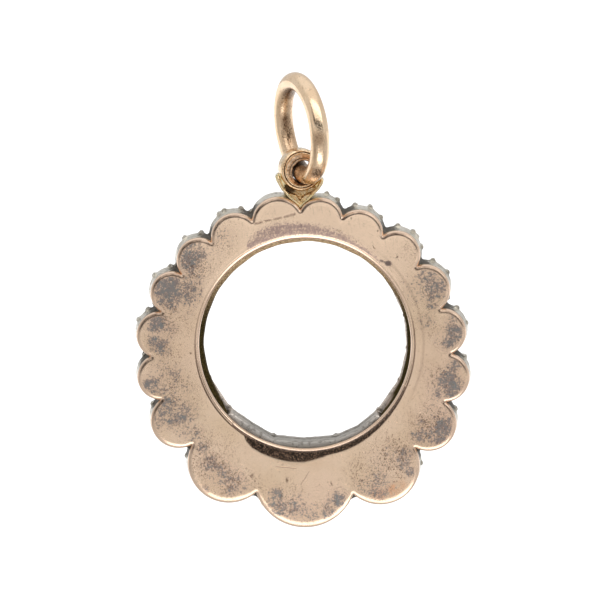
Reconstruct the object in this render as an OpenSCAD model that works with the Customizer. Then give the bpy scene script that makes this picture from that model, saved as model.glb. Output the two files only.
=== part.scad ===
/*
Open circle pendant: a scalloped rose-gold back plate with a round opening, seventeen graduated old-cut
stones in silver collets on its front, a yellow-gold loop in a V-shaped cradle, and a round jump ring.
The pendant hangs. The origin is where a chain sits, at the inside top of the jump ring. +Z is up, the
gold back faces +Y and the stones face -Y.
*/

/* [Jump ring] */
// Inner diameter of the jump ring
ring_inner = 5.4; // [5.3:0.05:5.5]
// Diameter of the jump ring's wire
ring_wire = 1.35; // [1.2:0.05:1.4]
// Turn of the ring about the vertical, away from the line of sight
ring_turn = 22; // [20:0.5:24]
// Sideways lean of the ring
ring_lean = 6.5; // [6:0.25:7]

/* [Suspension loop] */
// Diameter of the loop's hole at its narrowest
loop_hole = 1.96; // [1.94:0.01:2]
// Outer diameter of the loop
loop_outer = 3.05; // [2.9:0.05:3.2]
// Length of the loop along its hole
loop_length = 1.4; // [1.2:0.1:1.6]
// Turn of the loop about the vertical
loop_turn = 12; // [6:1:16]
// Drop from the origin to the centre of the loop's hole
loop_drop = 5.73; // [5.72:0.01:5.75]

/* [Plate] */
// Diameter of the opening in the gold plate
opening = 15.2; // [14.8:0.1:15.4]
// Thickness of the gold plate
gold_t = 0.65; // [0.6:0.05:0.7]
// Width and depth of the gold plate's rounded edge
edge_round = 0.28; // [0.2:0.02:0.34]
// Drop from the centre of the loop's hole to the centre of the opening
plate_drop = 12.5; // [12.4:0.05:12.6]

/* [Silver front] */
// Height of the silver rim above the gold back face
rim_height = 2.4; // [2.3:0.05:2.5]
// Overhang of the silver rim past the gold edge
rim_overhang = 0.16; // [0.1:0.02:0.2]
// Radius of the silver front's inner edge, at its corners
rim_inner = 7.34; // [7.3:0.01:7.36]
// Diameter of a claw
claw_d = 0.36; // [0.3:0.02:0.4]

/* [Stones] */
// Least metal between a stone and the edge of its collet
stone_wall = 0.3; // [0.26:0.02:0.36]
// Height of a crown, as a share of the stone's width
crown_share = 0.17; // [0.12:0.01:0.2]
// Greatest depth of a pavilion
pavilion_max = 1.3; // [1:0.05:1.35]
// Gap between a stone and its collet
stone_gap = 0.04; // [0.03:0.01:0.06]

/* [Hidden] */
// Scallops, clockwise from the top as seen from the back: the direction and distance of each scallop's
// centre from the centre of the opening, its radius, and the directions of its outer claws from there
DIRECTION = 0;
DISTANCE = 1;
RADIUS = 2;
CLAWS = 3;
scallops = [
    [7, 8.95, 1.65, [-38, 8, 36]],
    [26, 8.8, 1.75, [-34, 0, 31]],
    [45.5, 9.2, 1.7, [-42, -5, 8, 34]],
    [65.5, 9.45, 1.8, [-48, -8, 50]],
    [85, 9.9, 1.7, [-50, -9, 52]],
    [103.5, 10.3, 1.8, [-53, 52]],
    [123, 10.6, 2, [-56, 48]],
    [148.5, 10.35, 2.85, [-57, -12, 42]],
    [180, 9.65, 3.7, [-54, -18, 18, 54]],
    [212.5, 10.2, 2.95, [-42, 12, 62]],
    [238.5, 10.65, 2, [-46, 59]],
    [257, 10.65, 1.65, [-50, 62]],
    [273.5, 10.4, 1.7, [-52, 26, 57]],
    [291, 10.2, 1.55, [-56, 19, 64]],
    [308.5, 9.7, 1.6, [-56, 15, 56]],
    [327, 9.15, 1.75, [-6, 8, 45]],
    [347.5, 8.9, 1.9, [-58, 30]],
];
scallop_count = len(scallops);
last = scallop_count - 1;

two_digits = function (n) str(n < 10 ? "0" : "", n);
stone_name = function (i) str("stone_", two_digits(i + 1));

$fn = 48;

rose_gold = [0.84, 0.69, 0.58];
yellow_gold = [0.83, 0.67, 0.42];
ring_gold = [0.86, 0.72, 0.58];
silver = [0.6, 0.59, 0.56];
clear_stone = [0.86, 0.9, 0.93];

// Heights above the gold back face
seam = 0.03;
silver_base = gold_t + seam;
girdle_height = rim_height - 0.2;
girdle_t = 0.08;
ledge_height = girdle_height - 0.2;
ledge_share = 0.9;
lining_top = rim_height - 0.4;

opening_r = opening / 2;
lining_t = 0.2;
lining_taper = 0.2;
lining_room = opening_r + lining_t + seam;
// Turn left free at each end of the lining
lining_play = 1;

// The three largest collets have a wider flat each, bent in the middle at this distance
largest = [7, 8, 9];
largest_inner = [7.36, 7.18, 7.16];

// Where the loop and the plate hang, sideways and in depth
loop_x = -0.18;
loop_y = -1.2;
plate_x = -0.53;
plate_back_y = 0.05;

direction = function (i) scallops[(i + scallop_count) % scallop_count][DIRECTION]
    + (i >= scallop_count ? 360 : 0) - (i < 0 ? 360 : 0);
distance = function (i) scallops[(i + scallop_count) % scallop_count][DISTANCE];
radius = function (i) scallops[(i + scallop_count) % scallop_count][RADIUS];

// A point of the plate, from its direction and its distance from the centre of the opening
polar = function (turn, reach) [-reach * sin(turn), reach * cos(turn)];
centre = function (i) polar(direction(i), distance(i));

// The direction of the notch between a scallop and the next one, nearer the smaller of the two
notch = function (i) direction(i)
    + (direction(i + 1) - direction(i)) * radius(i) / (radius(i) + radius(i + 1));

// A stone fills its collet, from the silver's inner edge to the scallop's outer edge
stone_near = lining_room;
stone_far = function (i) distance(i) + radius(i) - stone_wall + rim_overhang / 2;
stone_length = function (i) stone_far(i) - stone_near;
stone_reach = function (i) (stone_far(i) + stone_near) / 2;
stone_width = function (i) min(
    2 * stone_reach(i) * sin((notch(i) - notch(i - 1)) / 2) - stone_wall,
    2 * (radius(i) - stone_wall + rim_overhang)
);
stone_crown = function (i) crown_share * min(stone_width(i), stone_length(i));
stone_pavilion = function (i) min(pavilion_max, 0.4 * stone_width(i));

// A cushion outline between an ellipse and a rectangle
squareness = 2.3;
power = function (v) sign(v) * pow(abs(v), 2 / squareness);
cushion_point = function (w, l, turn) [w / 2 * power(cos(turn)), l / 2 * power(sin(turn))];
cushion = function (w, l) [for (k = [0:15]) cushion_point(w, l, 22.5 * k)];

// A quarter of a round, from the flat face out to the edge
edge_steps = 4;
rounded_edge = function (r) [
    for (k = [0:edge_steps])
        [r - edge_round * (1 - sin(90 * k / edge_steps)), edge_round * (1 - cos(90 * k / edge_steps))]
];

// Places what is drawn flat, its back face at height 0, upright in the pendant
module in_plate() {
    translate([plate_x, plate_back_y, -loop_drop - plate_drop])
        rotate([90, 0, 0])
            children();
}

// The middle of the plate, out to the centres of the scallops
module core(from, to) {
    translate([0, 0, from])
        linear_extrude(to - from)
            polygon([for (i = [0:last]) centre(i)]);
}

// One scallop of the gold plate, with its rounded back edge
module gold_scallop(i) {
    translate(centre(i))
        rotate_extrude()
            polygon(concat([[0, 0]], rounded_edge(radius(i)), [[radius(i), gold_t], [0, gold_t]]));
}

// What the opening takes out of the gold plate, with the same rounded edge
module gold_opening() {
    dish = [for (p = rounded_edge(0)) [opening_r - p[0], p[1]]];
    rotate_extrude()
        polygon(concat([[0, -1], [opening_r + edge_round, -1]], dish, [[opening_r, 3], [0, 3]]));
}

// The thin gold lining of the opening, which the three largest collets hide at the bottom
module gold_lining() {
    lining_start = notch(9) + 90;
    lining_sweep = notch(6) + 360 - notch(9);
    rotate([0, 0, lining_start])
        rotate_extrude(angle = lining_sweep)
            polygon([
                [opening_r, gold_t],
                [opening_r - lining_taper, lining_top],
                [opening_r - lining_taper + lining_t, lining_top],
                [opening_r + lining_t, gold_t],
            ]);
}

module back_plate() {
    color(rose_gold)
        in_plate()
            union() {
                difference() {
                    union() {
                        core(0, gold_t);
                        for (i = [0:last]) gold_scallop(i);
                    }
                    gold_opening();
                }
                gold_lining();
            }
}

// The outside of one silver collet, widening to its rim
module collet(i) {
    r = radius(i);
    translate(centre(i))
        rotate_extrude()
            polygon([
                [0, silver_base],
                [r - 0.04, silver_base],
                [r + rim_overhang, rim_height - 0.3],
                [r + rim_overhang, rim_height - 0.12],
                [r + rim_overhang - 0.1, rim_height],
                [0, rim_height],
            ]);
}

// The seat of one stone: a pocket for its girdle and a smaller hole through for its pavilion
module seat(i) {
    w = stone_width(i) + 2 * stone_gap;
    l = stone_length(i) + 2 * stone_gap;
    rotate([0, 0, direction(i)])
        translate([0, stone_reach(i), 0]) {
            translate([0, 0, ledge_height])
                linear_extrude(1)
                    polygon(cushion(w, l));
            linear_extrude(rim_height)
                polygon(cushion(w * ledge_share, l * ledge_share));
        }
}

// The inner edge of the silver: one flat for each collet
module silver_opening() {
    linear_extrude(3 * rim_height, center = true)
        polygon([
            for (i = [0:last])
                each concat(
                    [for (k = [0:2]) if (largest[k] == i) polar(direction(i), largest_inner[k])],
                    [polar(notch(i), rim_inner)]
                )
        ]);
    difference() {
        translate([0, 0, -1])
            cylinder(r = lining_room, h = lining_top + seam + 1);
        linear_extrude(rim_height)
            polygon([
                [0, 0],
                polar(notch(6) + lining_play, 2 * opening),
                polar(direction(7), 2 * opening),
                polar(direction(9), 2 * opening),
                polar(notch(9) - lining_play, 2 * opening),
            ]);
    }
}

// A claw standing on the rim, with a blunt tip
module claw(turn, reach, foot) {
    rotate([0, 0, turn])
        translate([0, reach, 0])
            rotate_extrude()
                polygon([
                    [0, foot],
                    [claw_d / 2, foot],
                    [claw_d / 2, rim_height + 0.1],
                    [claw_d / 4, rim_height + 0.28],
                    [0, rim_height + 0.28],
                ]);
}

// The claws are more worn towards the bottom, and the grains of the opening towards the top
claw_foot = rim_height - 0.5;
claw_reach = function (turn) rim_overhang + 0.02 - 0.1 * (1 - cos(turn));
grain_reach = function (turn) claw_d / 2 - 0.02 - 0.05 * (1 - cos(turn));

module silver_front() {
    color(silver)
        in_plate()
            union() {
                difference() {
                    union() {
                        core(silver_base, rim_height);
                        for (i = [0:last]) collet(i);
                    }
                    for (i = [0:last]) seat(i);
                    silver_opening();
                }
                for (i = [0:last]) {
                    translate(centre(i))
                        for (c = scallops[i][CLAWS])
                            claw(direction(i) + c, radius(i) + claw_reach(direction(i) + c), claw_foot);
                    claw(notch(i), rim_inner + grain_reach(notch(i)), lining_top + 0.1);
                }
            }
}

// One old-cut stone: table, star, kite and girdle facets above, main and lower facets and a culet below
module stone(i) {
    w = stone_width(i);
    l = stone_length(i);
    crown = stone_crown(i);
    pavilion = stone_pavilion(i);
    ring8 = function (share, from, height)
        [for (k = [0:7]) concat(share * cushion_point(w, l, from + 45 * k), [height])];
    ring16 = function (height) [for (p = cushion(w, l)) concat(p, [height])];
    table = 0;
    upper = 8;
    girdle_top = 16;
    girdle_foot = 32;
    lower = 48;
    culet = 56;
    points = concat(
        ring8(0.52, 22.5, crown),
        ring8(0.76, 0, 0.62 * crown),
        ring16(girdle_t / 2),
        ring16(-girdle_t / 2),
        ring8(0.55, 0, -0.535 * pavilion),
        ring8(0.08, 22.5, -pavilion)
    );
    crown_facets = [
        for (k = [0:7])
            let (
                before = (k + 7) % 8,
                after = (k + 1) % 8,
                side = 2 * k,
                corner = 2 * k + 1,
                side_before = (2 * k + 15) % 16
            )
                each [
                    [table + before, table + k, upper + k],
                    [table + k, upper + after, girdle_top + corner],
                    [table + k, girdle_top + corner, upper + k],
                    [upper + k, girdle_top + corner, girdle_top + side],
                    [upper + k, girdle_top + side, girdle_top + side_before],
                    [culet + before, lower + k, culet + k],
                    [culet + k, lower + k, girdle_foot + corner],
                    [culet + k, girdle_foot + corner, lower + after],
                    [lower + k, girdle_foot + side, girdle_foot + corner],
                    [lower + k, girdle_foot + side_before, girdle_foot + side],
                ]
    ];
    girdle_facets = [
        for (k = [0:15])
            let (next = (k + 1) % 16)
                [girdle_top + k, girdle_top + next, girdle_foot + next, girdle_foot + k]
    ];
    table_facet = [for (k = [7:-1:0]) table + k];
    culet_facet = [for (k = [0:7]) culet + k];
    color(clear_stone)
        in_plate()
            rotate([0, 0, direction(i)])
                translate([0, stone_reach(i), girdle_height])
                    polyhedron(points, concat([table_facet, culet_facet], crown_facets, girdle_facets));
}

// The loop, a short ring that the jump ring passes through
module loop() {
    outer = loop_outer / 2;
    half = loop_length / 2;
    rotate_extrude()
        polygon([
            [0, -half],
            [outer - 0.2, -half],
            [outer - 0.05, -half + 0.12],
            [outer, -half + 0.3],
            [outer, half - 0.3],
            [outer - 0.05, half - 0.12],
            [outer - 0.2, half],
            [0, half],
        ]);
}

// The loop's hole, narrowest in the middle and flared towards both ends and beyond
module loop_bore() {
    r = loop_hole / 2;
    half = loop_length / 2;
    side = [[r, 0.12], [r + 0.14, half - 0.2], [r + 0.24, half], [r + 0.7, half + 0.5], [0, half + 0.5]];
    rotate_extrude()
        polygon(concat(side, [for (k = [4:-1:0]) [side[k][0], -side[k][1]]]));
}

// Places what is drawn round the vertical along the hole of the loop
module along_loop() {
    translate([loop_x, loop_y, -loop_drop])
        rotate([0, 0, loop_turn])
            rotate([90, 0, 0])
                children();
}

// The cradle's outline: two wings that hold the loop and meet in a tip in the top notch
wing_reach = 1.7;
wing_top = 12.1;
wing_skew = 0.12;
belly_reach = 1.32;
belly_height = 11.05;
tip_height = 9.8;
cradle_x = loop_x - plate_x;
module cradle_outline(clearance, top) {
    difference() {
        intersection() {
            translate([cradle_x, 0])
                polygon([
                    [0, tip_height],
                    [-belly_reach, belly_height],
                    [-wing_reach + 0.05, wing_top - 0.4],
                    [-wing_reach, wing_top - 0.2 - wing_skew],
                    [-wing_reach + 0.2, wing_top - wing_skew],
                    [0, wing_top - 0.6],
                    [wing_reach - 0.1, wing_top + wing_skew],
                    [wing_reach + 0.1, wing_top - 0.2 + wing_skew],
                    [wing_reach, wing_top - 0.4],
                    [belly_reach, belly_height],
                ]);
            translate([-5, 0])
                square([10, top]);
        }
        for (i = [0, last])
            translate(centre(i))
                circle(r = radius(i) + clearance);
    }
}

// The hollow between the wings, seen from the back
module cradle_hollow() {
    translate([cradle_x, 0])
        polygon([[0, tip_height + 0.5], [-1.15, wing_top - 0.35], [1.15, wing_top - 0.35]]);
}

module suspension_loop() {
    foot_back = 0.3;
    foot_top = 10.8;
    cradle_front = 1.9;
    hollow_front = 1;
    color(yellow_gold)
        difference() {
            union() {
                along_loop()
                    loop();
                in_plate()
                    difference() {
                        union() {
                            translate([0, 0, foot_back])
                                linear_extrude(gold_t - foot_back)
                                    cradle_outline(0.04, foot_top);
                            translate([0, 0, gold_t])
                                linear_extrude(cradle_front - gold_t)
                                    cradle_outline(rim_overhang + 0.06, 2 * wing_top);
                        }
                        linear_extrude(hollow_front)
                            cradle_hollow();
                    }
            }
            along_loop()
                loop_bore();
        }
}

module jump_ring() {
    color(ring_gold)
        rotate([0, 0, ring_turn])
            rotate([0, ring_lean, 0])
                translate([0, 0, -ring_inner / 2])
                    rotate([0, 90, 0])
                        rotate_extrude()
                            translate([(ring_inner + ring_wire) / 2, 0])
                                circle(d = ring_wire);
}

back_plate();
silver_front();
suspension_loop();
jump_ring();
for (i = [0:last])
    stone(i);
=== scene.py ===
"""
The looks of an open circle pendant: a scalloped rose-gold back, old silver collets with claws and old-cut
stones on the far side, a yellow-gold loop in its cradle and a round jump ring. The pendant hangs, and the
camera looks at its gold back. Sizes are in millimetres until a mesh is finished, and then in metres.
"""

import math

import bmesh
import bpy
import numpy as np
from mathutils import Matrix, Vector, noise


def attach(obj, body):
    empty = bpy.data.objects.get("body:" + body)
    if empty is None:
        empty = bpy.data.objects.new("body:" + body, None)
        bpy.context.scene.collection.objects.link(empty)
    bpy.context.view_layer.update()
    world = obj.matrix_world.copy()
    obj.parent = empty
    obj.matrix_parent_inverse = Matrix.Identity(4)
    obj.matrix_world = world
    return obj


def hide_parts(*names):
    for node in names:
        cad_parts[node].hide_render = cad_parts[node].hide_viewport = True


MM = 0.001

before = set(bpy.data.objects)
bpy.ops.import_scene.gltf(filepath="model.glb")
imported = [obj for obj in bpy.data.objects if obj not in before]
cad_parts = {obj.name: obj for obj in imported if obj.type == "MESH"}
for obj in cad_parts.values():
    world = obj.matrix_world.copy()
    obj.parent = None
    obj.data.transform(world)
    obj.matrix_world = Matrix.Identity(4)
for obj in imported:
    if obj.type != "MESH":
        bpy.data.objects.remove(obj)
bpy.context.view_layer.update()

# --- Sizes of the real pieces, in millimetres --------------------------------------------------------------

# The middle of the opening, on the gold back face. Height above that face runs towards -Y.
PLATE_X, PLATE_BACK_Y, PLATE_Z = -0.53, 0.05, -18.23
OPENING_R = 7.6
GOLD_T = 0.65

# Each scallop: direction of its centre, clockwise from the top as seen from the back, distance from the
# middle of the opening, radius, and the directions of its outer claws from there
SCALLOPS = (
    (7, 8.95, 1.65, (-38, 8, 36)),
    (26, 8.8, 1.75, (-34, 0, 31)),
    (45.5, 9.2, 1.7, (-42, -5, 8, 34)),
    (65.5, 9.45, 1.8, (-48, -8, 50)),
    (85, 9.9, 1.7, (-50, -9, 52)),
    (103.5, 10.3, 1.8, (-53, 52)),
    (123, 10.6, 2, (-56, 48)),
    (148.5, 10.35, 2.85, (-57, -12, 42)),
    (180, 9.65, 3.7, (-54, -18, 18, 54)),
    (212.5, 10.2, 2.95, (-42, 12, 62)),
    (238.5, 10.65, 2, (-46, 59)),
    (257, 10.65, 1.65, (-50, 62)),
    (273.5, 10.4, 1.7, (-52, 26, 57)),
    (291, 10.2, 1.55, (-56, 19, 64)),
    (308.5, 9.7, 1.6, (-56, 15, 56)),
    (327, 9.15, 1.75, (-6, 8, 45)),
    (347.5, 8.9, 1.9, (-58, 30)),
)
SCALLOP_COUNT = len(SCALLOPS)

RIM_HEIGHT = 2.4
RIM_OVERHANG = 0.16
RIM_INNER = 7.34
LINING_TOP = 2.0

LOOP_X, LOOP_Y, LOOP_Z = -0.18, -1.2, -5.73
LOOP_TURN = 12

RING_INNER, RING_WIRE = 5.4, 1.35
RING_TURN, RING_LEAN = 22, 6.5

# How far the camera looks down on the pendant, in degrees
CAMERA_RISE = 7.5


# --- Places on the plate ------------------------------------------------------------------------------------

def polar(turn, reach):
    """A point of the plate, from its direction in degrees and its distance from the middle of the opening."""
    return np.array([-reach * math.sin(math.radians(turn)), reach * math.cos(math.radians(turn))])


def on_back(right, up):
    """A point of the plate, from how far right and up it is as the back is seen."""
    return np.array([-right, up])


def direction_of(points):
    """The direction of each point of the plate from the middle of the opening, 0 to 360 degrees."""
    return np.degrees(np.arctan2(-points[..., 0], points[..., 1])) % 360


def either_side(turn):
    """Directions counted from the top to both sides, -180 to 180 degrees."""
    return (turn + 180) % 360 - 180


def charted(turn, chart):
    """The value at each direction, from a chart of directions and values."""
    return np.interp(turn, *zip(*chart))


def scallop_centre(i):
    turn, distance = SCALLOPS[i % SCALLOP_COUNT][:2]
    return polar(turn, distance)


def scallop_radius(i):
    return SCALLOPS[i % SCALLOP_COUNT][2]


def notch_point(i):
    """Where the edges of scallop i and the next one meet."""
    a, b = scallop_centre(i), scallop_centre(i + 1)
    ra, rb = scallop_radius(i), scallop_radius(i + 1)
    apart = np.linalg.norm(b - a)
    along = (ra**2 - rb**2 + apart**2) / (2 * apart)
    across = math.sqrt(ra**2 - along**2)
    way = (b - a) / apart
    side = np.array([-way[1], way[0]])
    points = [a + along * way + s * across * side for s in (-1, 1)]
    return max(points, key=lambda p: np.linalg.norm(p))


def notch_direction(i):
    """The direction in which the silver front has a grain between two stones, as the collets divide it."""
    here, after = SCALLOPS[i % SCALLOP_COUNT], SCALLOPS[(i + 1) % SCALLOP_COUNT]
    gap = (after[0] - here[0]) % 360
    return here[0] + gap * here[2] / (here[2] + after[2])


NOTCHES = [notch_point(i) for i in range(SCALLOP_COUNT)]
IN_PLATE = Matrix(((1, 0, 0, PLATE_X), (0, 0, -1, PLATE_BACK_Y), (0, 1, 0, PLATE_Z), (0, 0, 0, 1)))

# The gold lining is missing behind the largest three stones, and runs a little past the grains beside them
LINING_PAST = 0.8
LINING_START, LINING_END = notch_direction(9) - LINING_PAST, notch_direction(6) + LINING_PAST


def to_notches(points):
    """The distance of each point of the plate from the nearest notch."""
    return np.min([np.linalg.norm(points - n, axis=-1) for n in NOTCHES], axis=0)


def scallop_arc(i):
    """A scallop's centre, its radius, the angle at which its edge starts and how far it sweeps."""
    middle, r = scallop_centre(i), scallop_radius(i)
    start, end = NOTCHES[i - 1] - middle, NOTCHES[i] - middle
    first = math.atan2(start[1], start[0])
    return middle, r, first, (math.atan2(end[1], end[0]) - first) % math.tau


# --- Making and finishing a piece ---------------------------------------------------------------------------

def in_scene(name, data):
    """An object of that name, linked into the scene."""
    made = bpy.data.objects.new(name, data)
    bpy.context.scene.collection.objects.link(made)
    return made


def piece_from(name, mesh, material, body, stands_for=()):
    """Makes a piece of a finished mesh: its material, the body it moves with and the solids it stands for."""
    piece = in_scene(name, mesh)
    mesh.materials.clear()
    mesh.materials.append(material)
    mesh.polygons.foreach_set("material_index", [0] * len(mesh.polygons))
    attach(piece, body)
    if stands_for:
        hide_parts(*stands_for)


def into_place(mesh, place=Matrix()):
    """Puts a mesh drawn in millimetres into its place, in metres."""
    mesh.transform(Matrix.Scale(MM, 4) @ place)
    mesh.update()


def mesh_of(name, points, faces=()):
    mesh = bpy.data.meshes.new(name)
    mesh.from_pydata(points, [], faces)
    return mesh


def band_faces(rows, columns, first=0, closed=False):
    """The squares between rows of corners, each a closed curve. The rows can close on each other as well."""
    faces = []
    for k in range(rows if closed else rows - 1):
        a, b = first + k * columns, first + (k + 1) % rows * columns
        faces += [(a + j, a + (j + 1) % columns, b + (j + 1) % columns, b + j) for j in range(columns)]
    return faces


def set_mask(mesh, name, values):
    layer = mesh.attributes.new(name, "FLOAT", "POINT")
    layer.data.foreach_set("value", np.asarray(values, dtype=np.float32))


def corners_of(mesh):
    points = np.empty(len(mesh.vertices) * 3, dtype=np.float32)
    mesh.vertices.foreach_get("co", points)
    return points.reshape(-1, 3).astype(float)


def place_corners(mesh, points):
    mesh.vertices.foreach_set("co", points.astype(np.float32).ravel())
    mesh.update()


def normals_of(mesh):
    normals = np.empty(len(mesh.vertices) * 3, dtype=np.float32)
    mesh.vertex_normals.foreach_get("vector", normals)
    return normals.reshape(-1, 3).astype(float)


def raise_corners(mesh, points, lumps):
    """Places the corners of a mesh at points, each raised by a height of its own."""
    place_corners(mesh, points + normals_of(mesh) * lumps[:, None])


def smooth_faces(mesh, crease=None):
    """Shades a mesh smooth, with a sharp edge where its faces meet at more than the crease, in degrees."""
    mesh.polygons.foreach_set("use_smooth", [True] * len(mesh.polygons))
    if crease is not None:
        mesh.set_sharp_from_angle(angle=math.radians(crease))


def hollows_of(mesh, rounds, depth):
    """How deep each corner of a mesh lies among its neighbours, from 0 on a ridge or flat to 1 at depth."""
    points, normals = corners_of(mesh), normals_of(mesh)
    edges = np.empty(len(mesh.edges) * 2, dtype=np.int32)
    mesh.edges.foreach_get("vertices", edges)
    a, b = edges.reshape(-1, 2).T
    count = np.bincount(np.concatenate([a, b]), minlength=len(points))[:, None]
    level = points.copy()
    for _ in range(rounds):
        total = np.zeros_like(level)
        np.add.at(total, a, level[b])
        np.add.at(total, b, level[a])
        level = 0.5 * level + 0.5 * total / np.maximum(count, 1)
    return np.clip(np.einsum("ij,ij->i", level - points, normals) / depth, 0, 1)


def uneven(points, size, seed):
    """Soft random height at each point, about -1 to 1, with lumps of that size."""
    shift = Vector((17.3 * seed, -9.1 * seed, 5.7 * seed))
    return np.array([noise.noise(Vector(p) / size + shift) for p in points])


def closed_copy(node):
    """A copy of a CAD node's mesh, in millimetres, with its corners joined."""
    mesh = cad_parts[node].data.copy()
    mesh.transform(Matrix.Scale(1 / MM, 4))
    work = bmesh.new()
    work.from_mesh(mesh)
    bmesh.ops.remove_doubles(work, verts=work.verts, dist=0.0005)
    work.to_mesh(mesh)
    work.free()
    return mesh


def worn_skin(mesh, voxel, rounds):
    """One closed skin over a mesh, of squares of that size, with softly worn edges."""
    # A voxel below 0.1 is too small for the modifier, so the mesh is grown for it
    grown = max(1.0, 0.1 / voxel)
    mesh.transform(Matrix.Scale(grown, 4))
    rough = in_scene("rough", mesh)
    skin = rough.modifiers.new("skin", "REMESH")
    skin.mode = "VOXEL"
    skin.voxel_size = voxel * grown
    wear = rough.modifiers.new("wear", "SMOOTH")
    wear.factor = 0.5
    wear.iterations = rounds
    worn = made_plain(rough)
    worn.transform(Matrix.Scale(1 / grown, 4))
    return worn


def cut_away(mesh, cutter):
    """Cuts one closed mesh out of another."""
    body, tool = in_scene("body", mesh), in_scene("tool", cutter)
    cut = body.modifiers.new("cut", "BOOLEAN")
    cut.operation, cut.solver, cut.object = "DIFFERENCE", "EXACT", tool
    left = made_plain(body)
    bpy.data.objects.remove(tool)
    bpy.data.meshes.remove(cutter)
    return left


def joined(*meshes):
    """One mesh of several, with its faces pointing outwards."""
    work = bmesh.new()
    for mesh in meshes:
        work.from_mesh(mesh)
    bmesh.ops.recalc_face_normals(work, faces=work.faces)
    work.to_mesh(meshes[0])
    work.free()
    for mesh in meshes[1:]:
        bpy.data.meshes.remove(mesh)
    return meshes[0]


def made_plain(thing):
    """The mesh that an object's modifiers make, with the object itself taken away."""
    depsgraph = bpy.context.evaluated_depsgraph_get()
    mesh = bpy.data.meshes.new_from_object(thing.evaluated_get(depsgraph), depsgraph=depsgraph)
    source = thing.data
    bpy.data.objects.remove(thing)
    bpy.data.meshes.remove(source)
    return mesh


# --- Building trees of nodes --------------------------------------------------------------------------------

class Value:
    """What a node gives out. Plain sums with it make further nodes."""

    def __init__(self, tree, socket):
        self.tree, self.socket = tree, socket

    def __add__(self, other):
        return maths("ADD", self, other)

    def __sub__(self, other):
        return maths("SUBTRACT", self, other)

    def __rsub__(self, other):
        return maths("SUBTRACT", other, self)

    def __mul__(self, other):
        return maths("MULTIPLY", self, other)

    def __truediv__(self, other):
        return maths("DIVIDE", self, other)

    def __rtruediv__(self, other):
        return maths("DIVIDE", other, self)

    __radd__, __rmul__ = __add__, __mul__


def join(value, socket):
    """Links what a node gives out to a socket, or sets a plain value there."""
    if isinstance(value, Value):
        value.tree.links.new(value.socket, socket)
    else:
        socket.default_value = value


def add(tree, kind, inputs=None, output=0, **settings):
    """Adds a node with its settings and its inputs, by name or number, and gives back one of its outputs."""
    made = tree.nodes.new(kind)
    for name, value in settings.items():
        setattr(made, name, value)
    for key, value in (inputs or {}).items():
        join(value, made.inputs[key])
    return Value(tree, made.outputs[output])


def all_outputs(tree, made):
    """Everything that a node gives out, by name."""
    return {socket.name: Value(tree, socket) for socket in made.outputs}


def tree_of(values):
    return next(value.tree for value in values if isinstance(value, Value))


def maths(operation, *values, clamp=False):
    inputs = dict(enumerate(values))
    return add(tree_of(values), "ShaderNodeMath", inputs, operation=operation, use_clamp=clamp)


def greatest(*values):
    top = values[0]
    for value in values[1:]:
        top = maths("MAXIMUM", top, value)
    return top


def vectors(operation, *values, output=0):
    return add(tree_of(values), "ShaderNodeVectorMath", dict(enumerate(values)), output, operation=operation)


def scaled(vector, share):
    return add(vector.tree, "ShaderNodeVectorMath", {0: vector, "Scale": share}, operation="SCALE")


def split(vector):
    """The three parts of a vector."""
    made = vector.tree.nodes.new("ShaderNodeSeparateXYZ")
    join(vector, made.inputs[0])
    return [Value(vector.tree, part) for part in made.outputs]


def ramped(value, low, high, to_low=0.0, to_high=1.0, kind="SMOOTHSTEP"):
    """Runs from to_low to to_high while the value runs from low to high."""
    inputs = {"Value": value, "From Min": low, "From Max": high, "To Min": to_low, "To Max": to_high}
    return add(value.tree, "ShaderNodeMapRange", inputs, interpolation_type=kind, clamp=True)


def mixed(share, a, b):
    """Mixes two colours by a share."""
    return add(share.tree, "ShaderNodeMix", {0: share, 6: a, 7: b}, 2, data_type="RGBA", clamp_factor=True)


def blended(share, a, b):
    """Mixes two values by a share."""
    return add(share.tree, "ShaderNodeMix", {0: share, 2: a, 3: b}, data_type="FLOAT", clamp_factor=True)


def noise_at(where, scale, detail, roughness=0.5):
    inputs = {"Vector": where, "Scale": scale, "Detail": detail, "Roughness": roughness}
    return add(where.tree, "ShaderNodeTexNoise", inputs)


def clouded(where, size, detail=2.0, roughness=0.5):
    """Noise with lumps of about that size in millimetres, spread over 0 to 1."""
    return ramped(noise_at(where, 1 / size, detail, roughness), 0.28, 0.72, kind="LINEAR")


def colour(red, green, blue):
    """A colour from what the eye reads off a print, 0 to 255, as the light it stands for."""
    linear = [c / 255 / 12.92 if c <= 10 else ((c / 255 + 0.055) / 1.055) ** 2.4 for c in (red, green, blue)]
    return (*linear, 1.0)


def mask_of(tree, name):
    return add(tree, "ShaderNodeAttribute", output="Fac", attribute_name=name)


def shader_group(name, inputs, outputs):
    """An empty shader node group with named inputs and outputs: (group, given, result sockets)."""
    group = bpy.data.node_groups.new(name, "ShaderNodeTree")
    for label, value in inputs.items():
        kind = "NodeSocketVector" if isinstance(value, tuple) else "NodeSocketFloat"
        group.interface.new_socket(label, in_out="INPUT", socket_type=kind).default_value = value
    for label in outputs:
        group.interface.new_socket(label, in_out="OUTPUT", socket_type="NodeSocketFloat")
    given = all_outputs(group, group.nodes.new("NodeGroupInput"))
    return group, given, group.nodes.new("NodeGroupOutput").inputs


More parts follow.
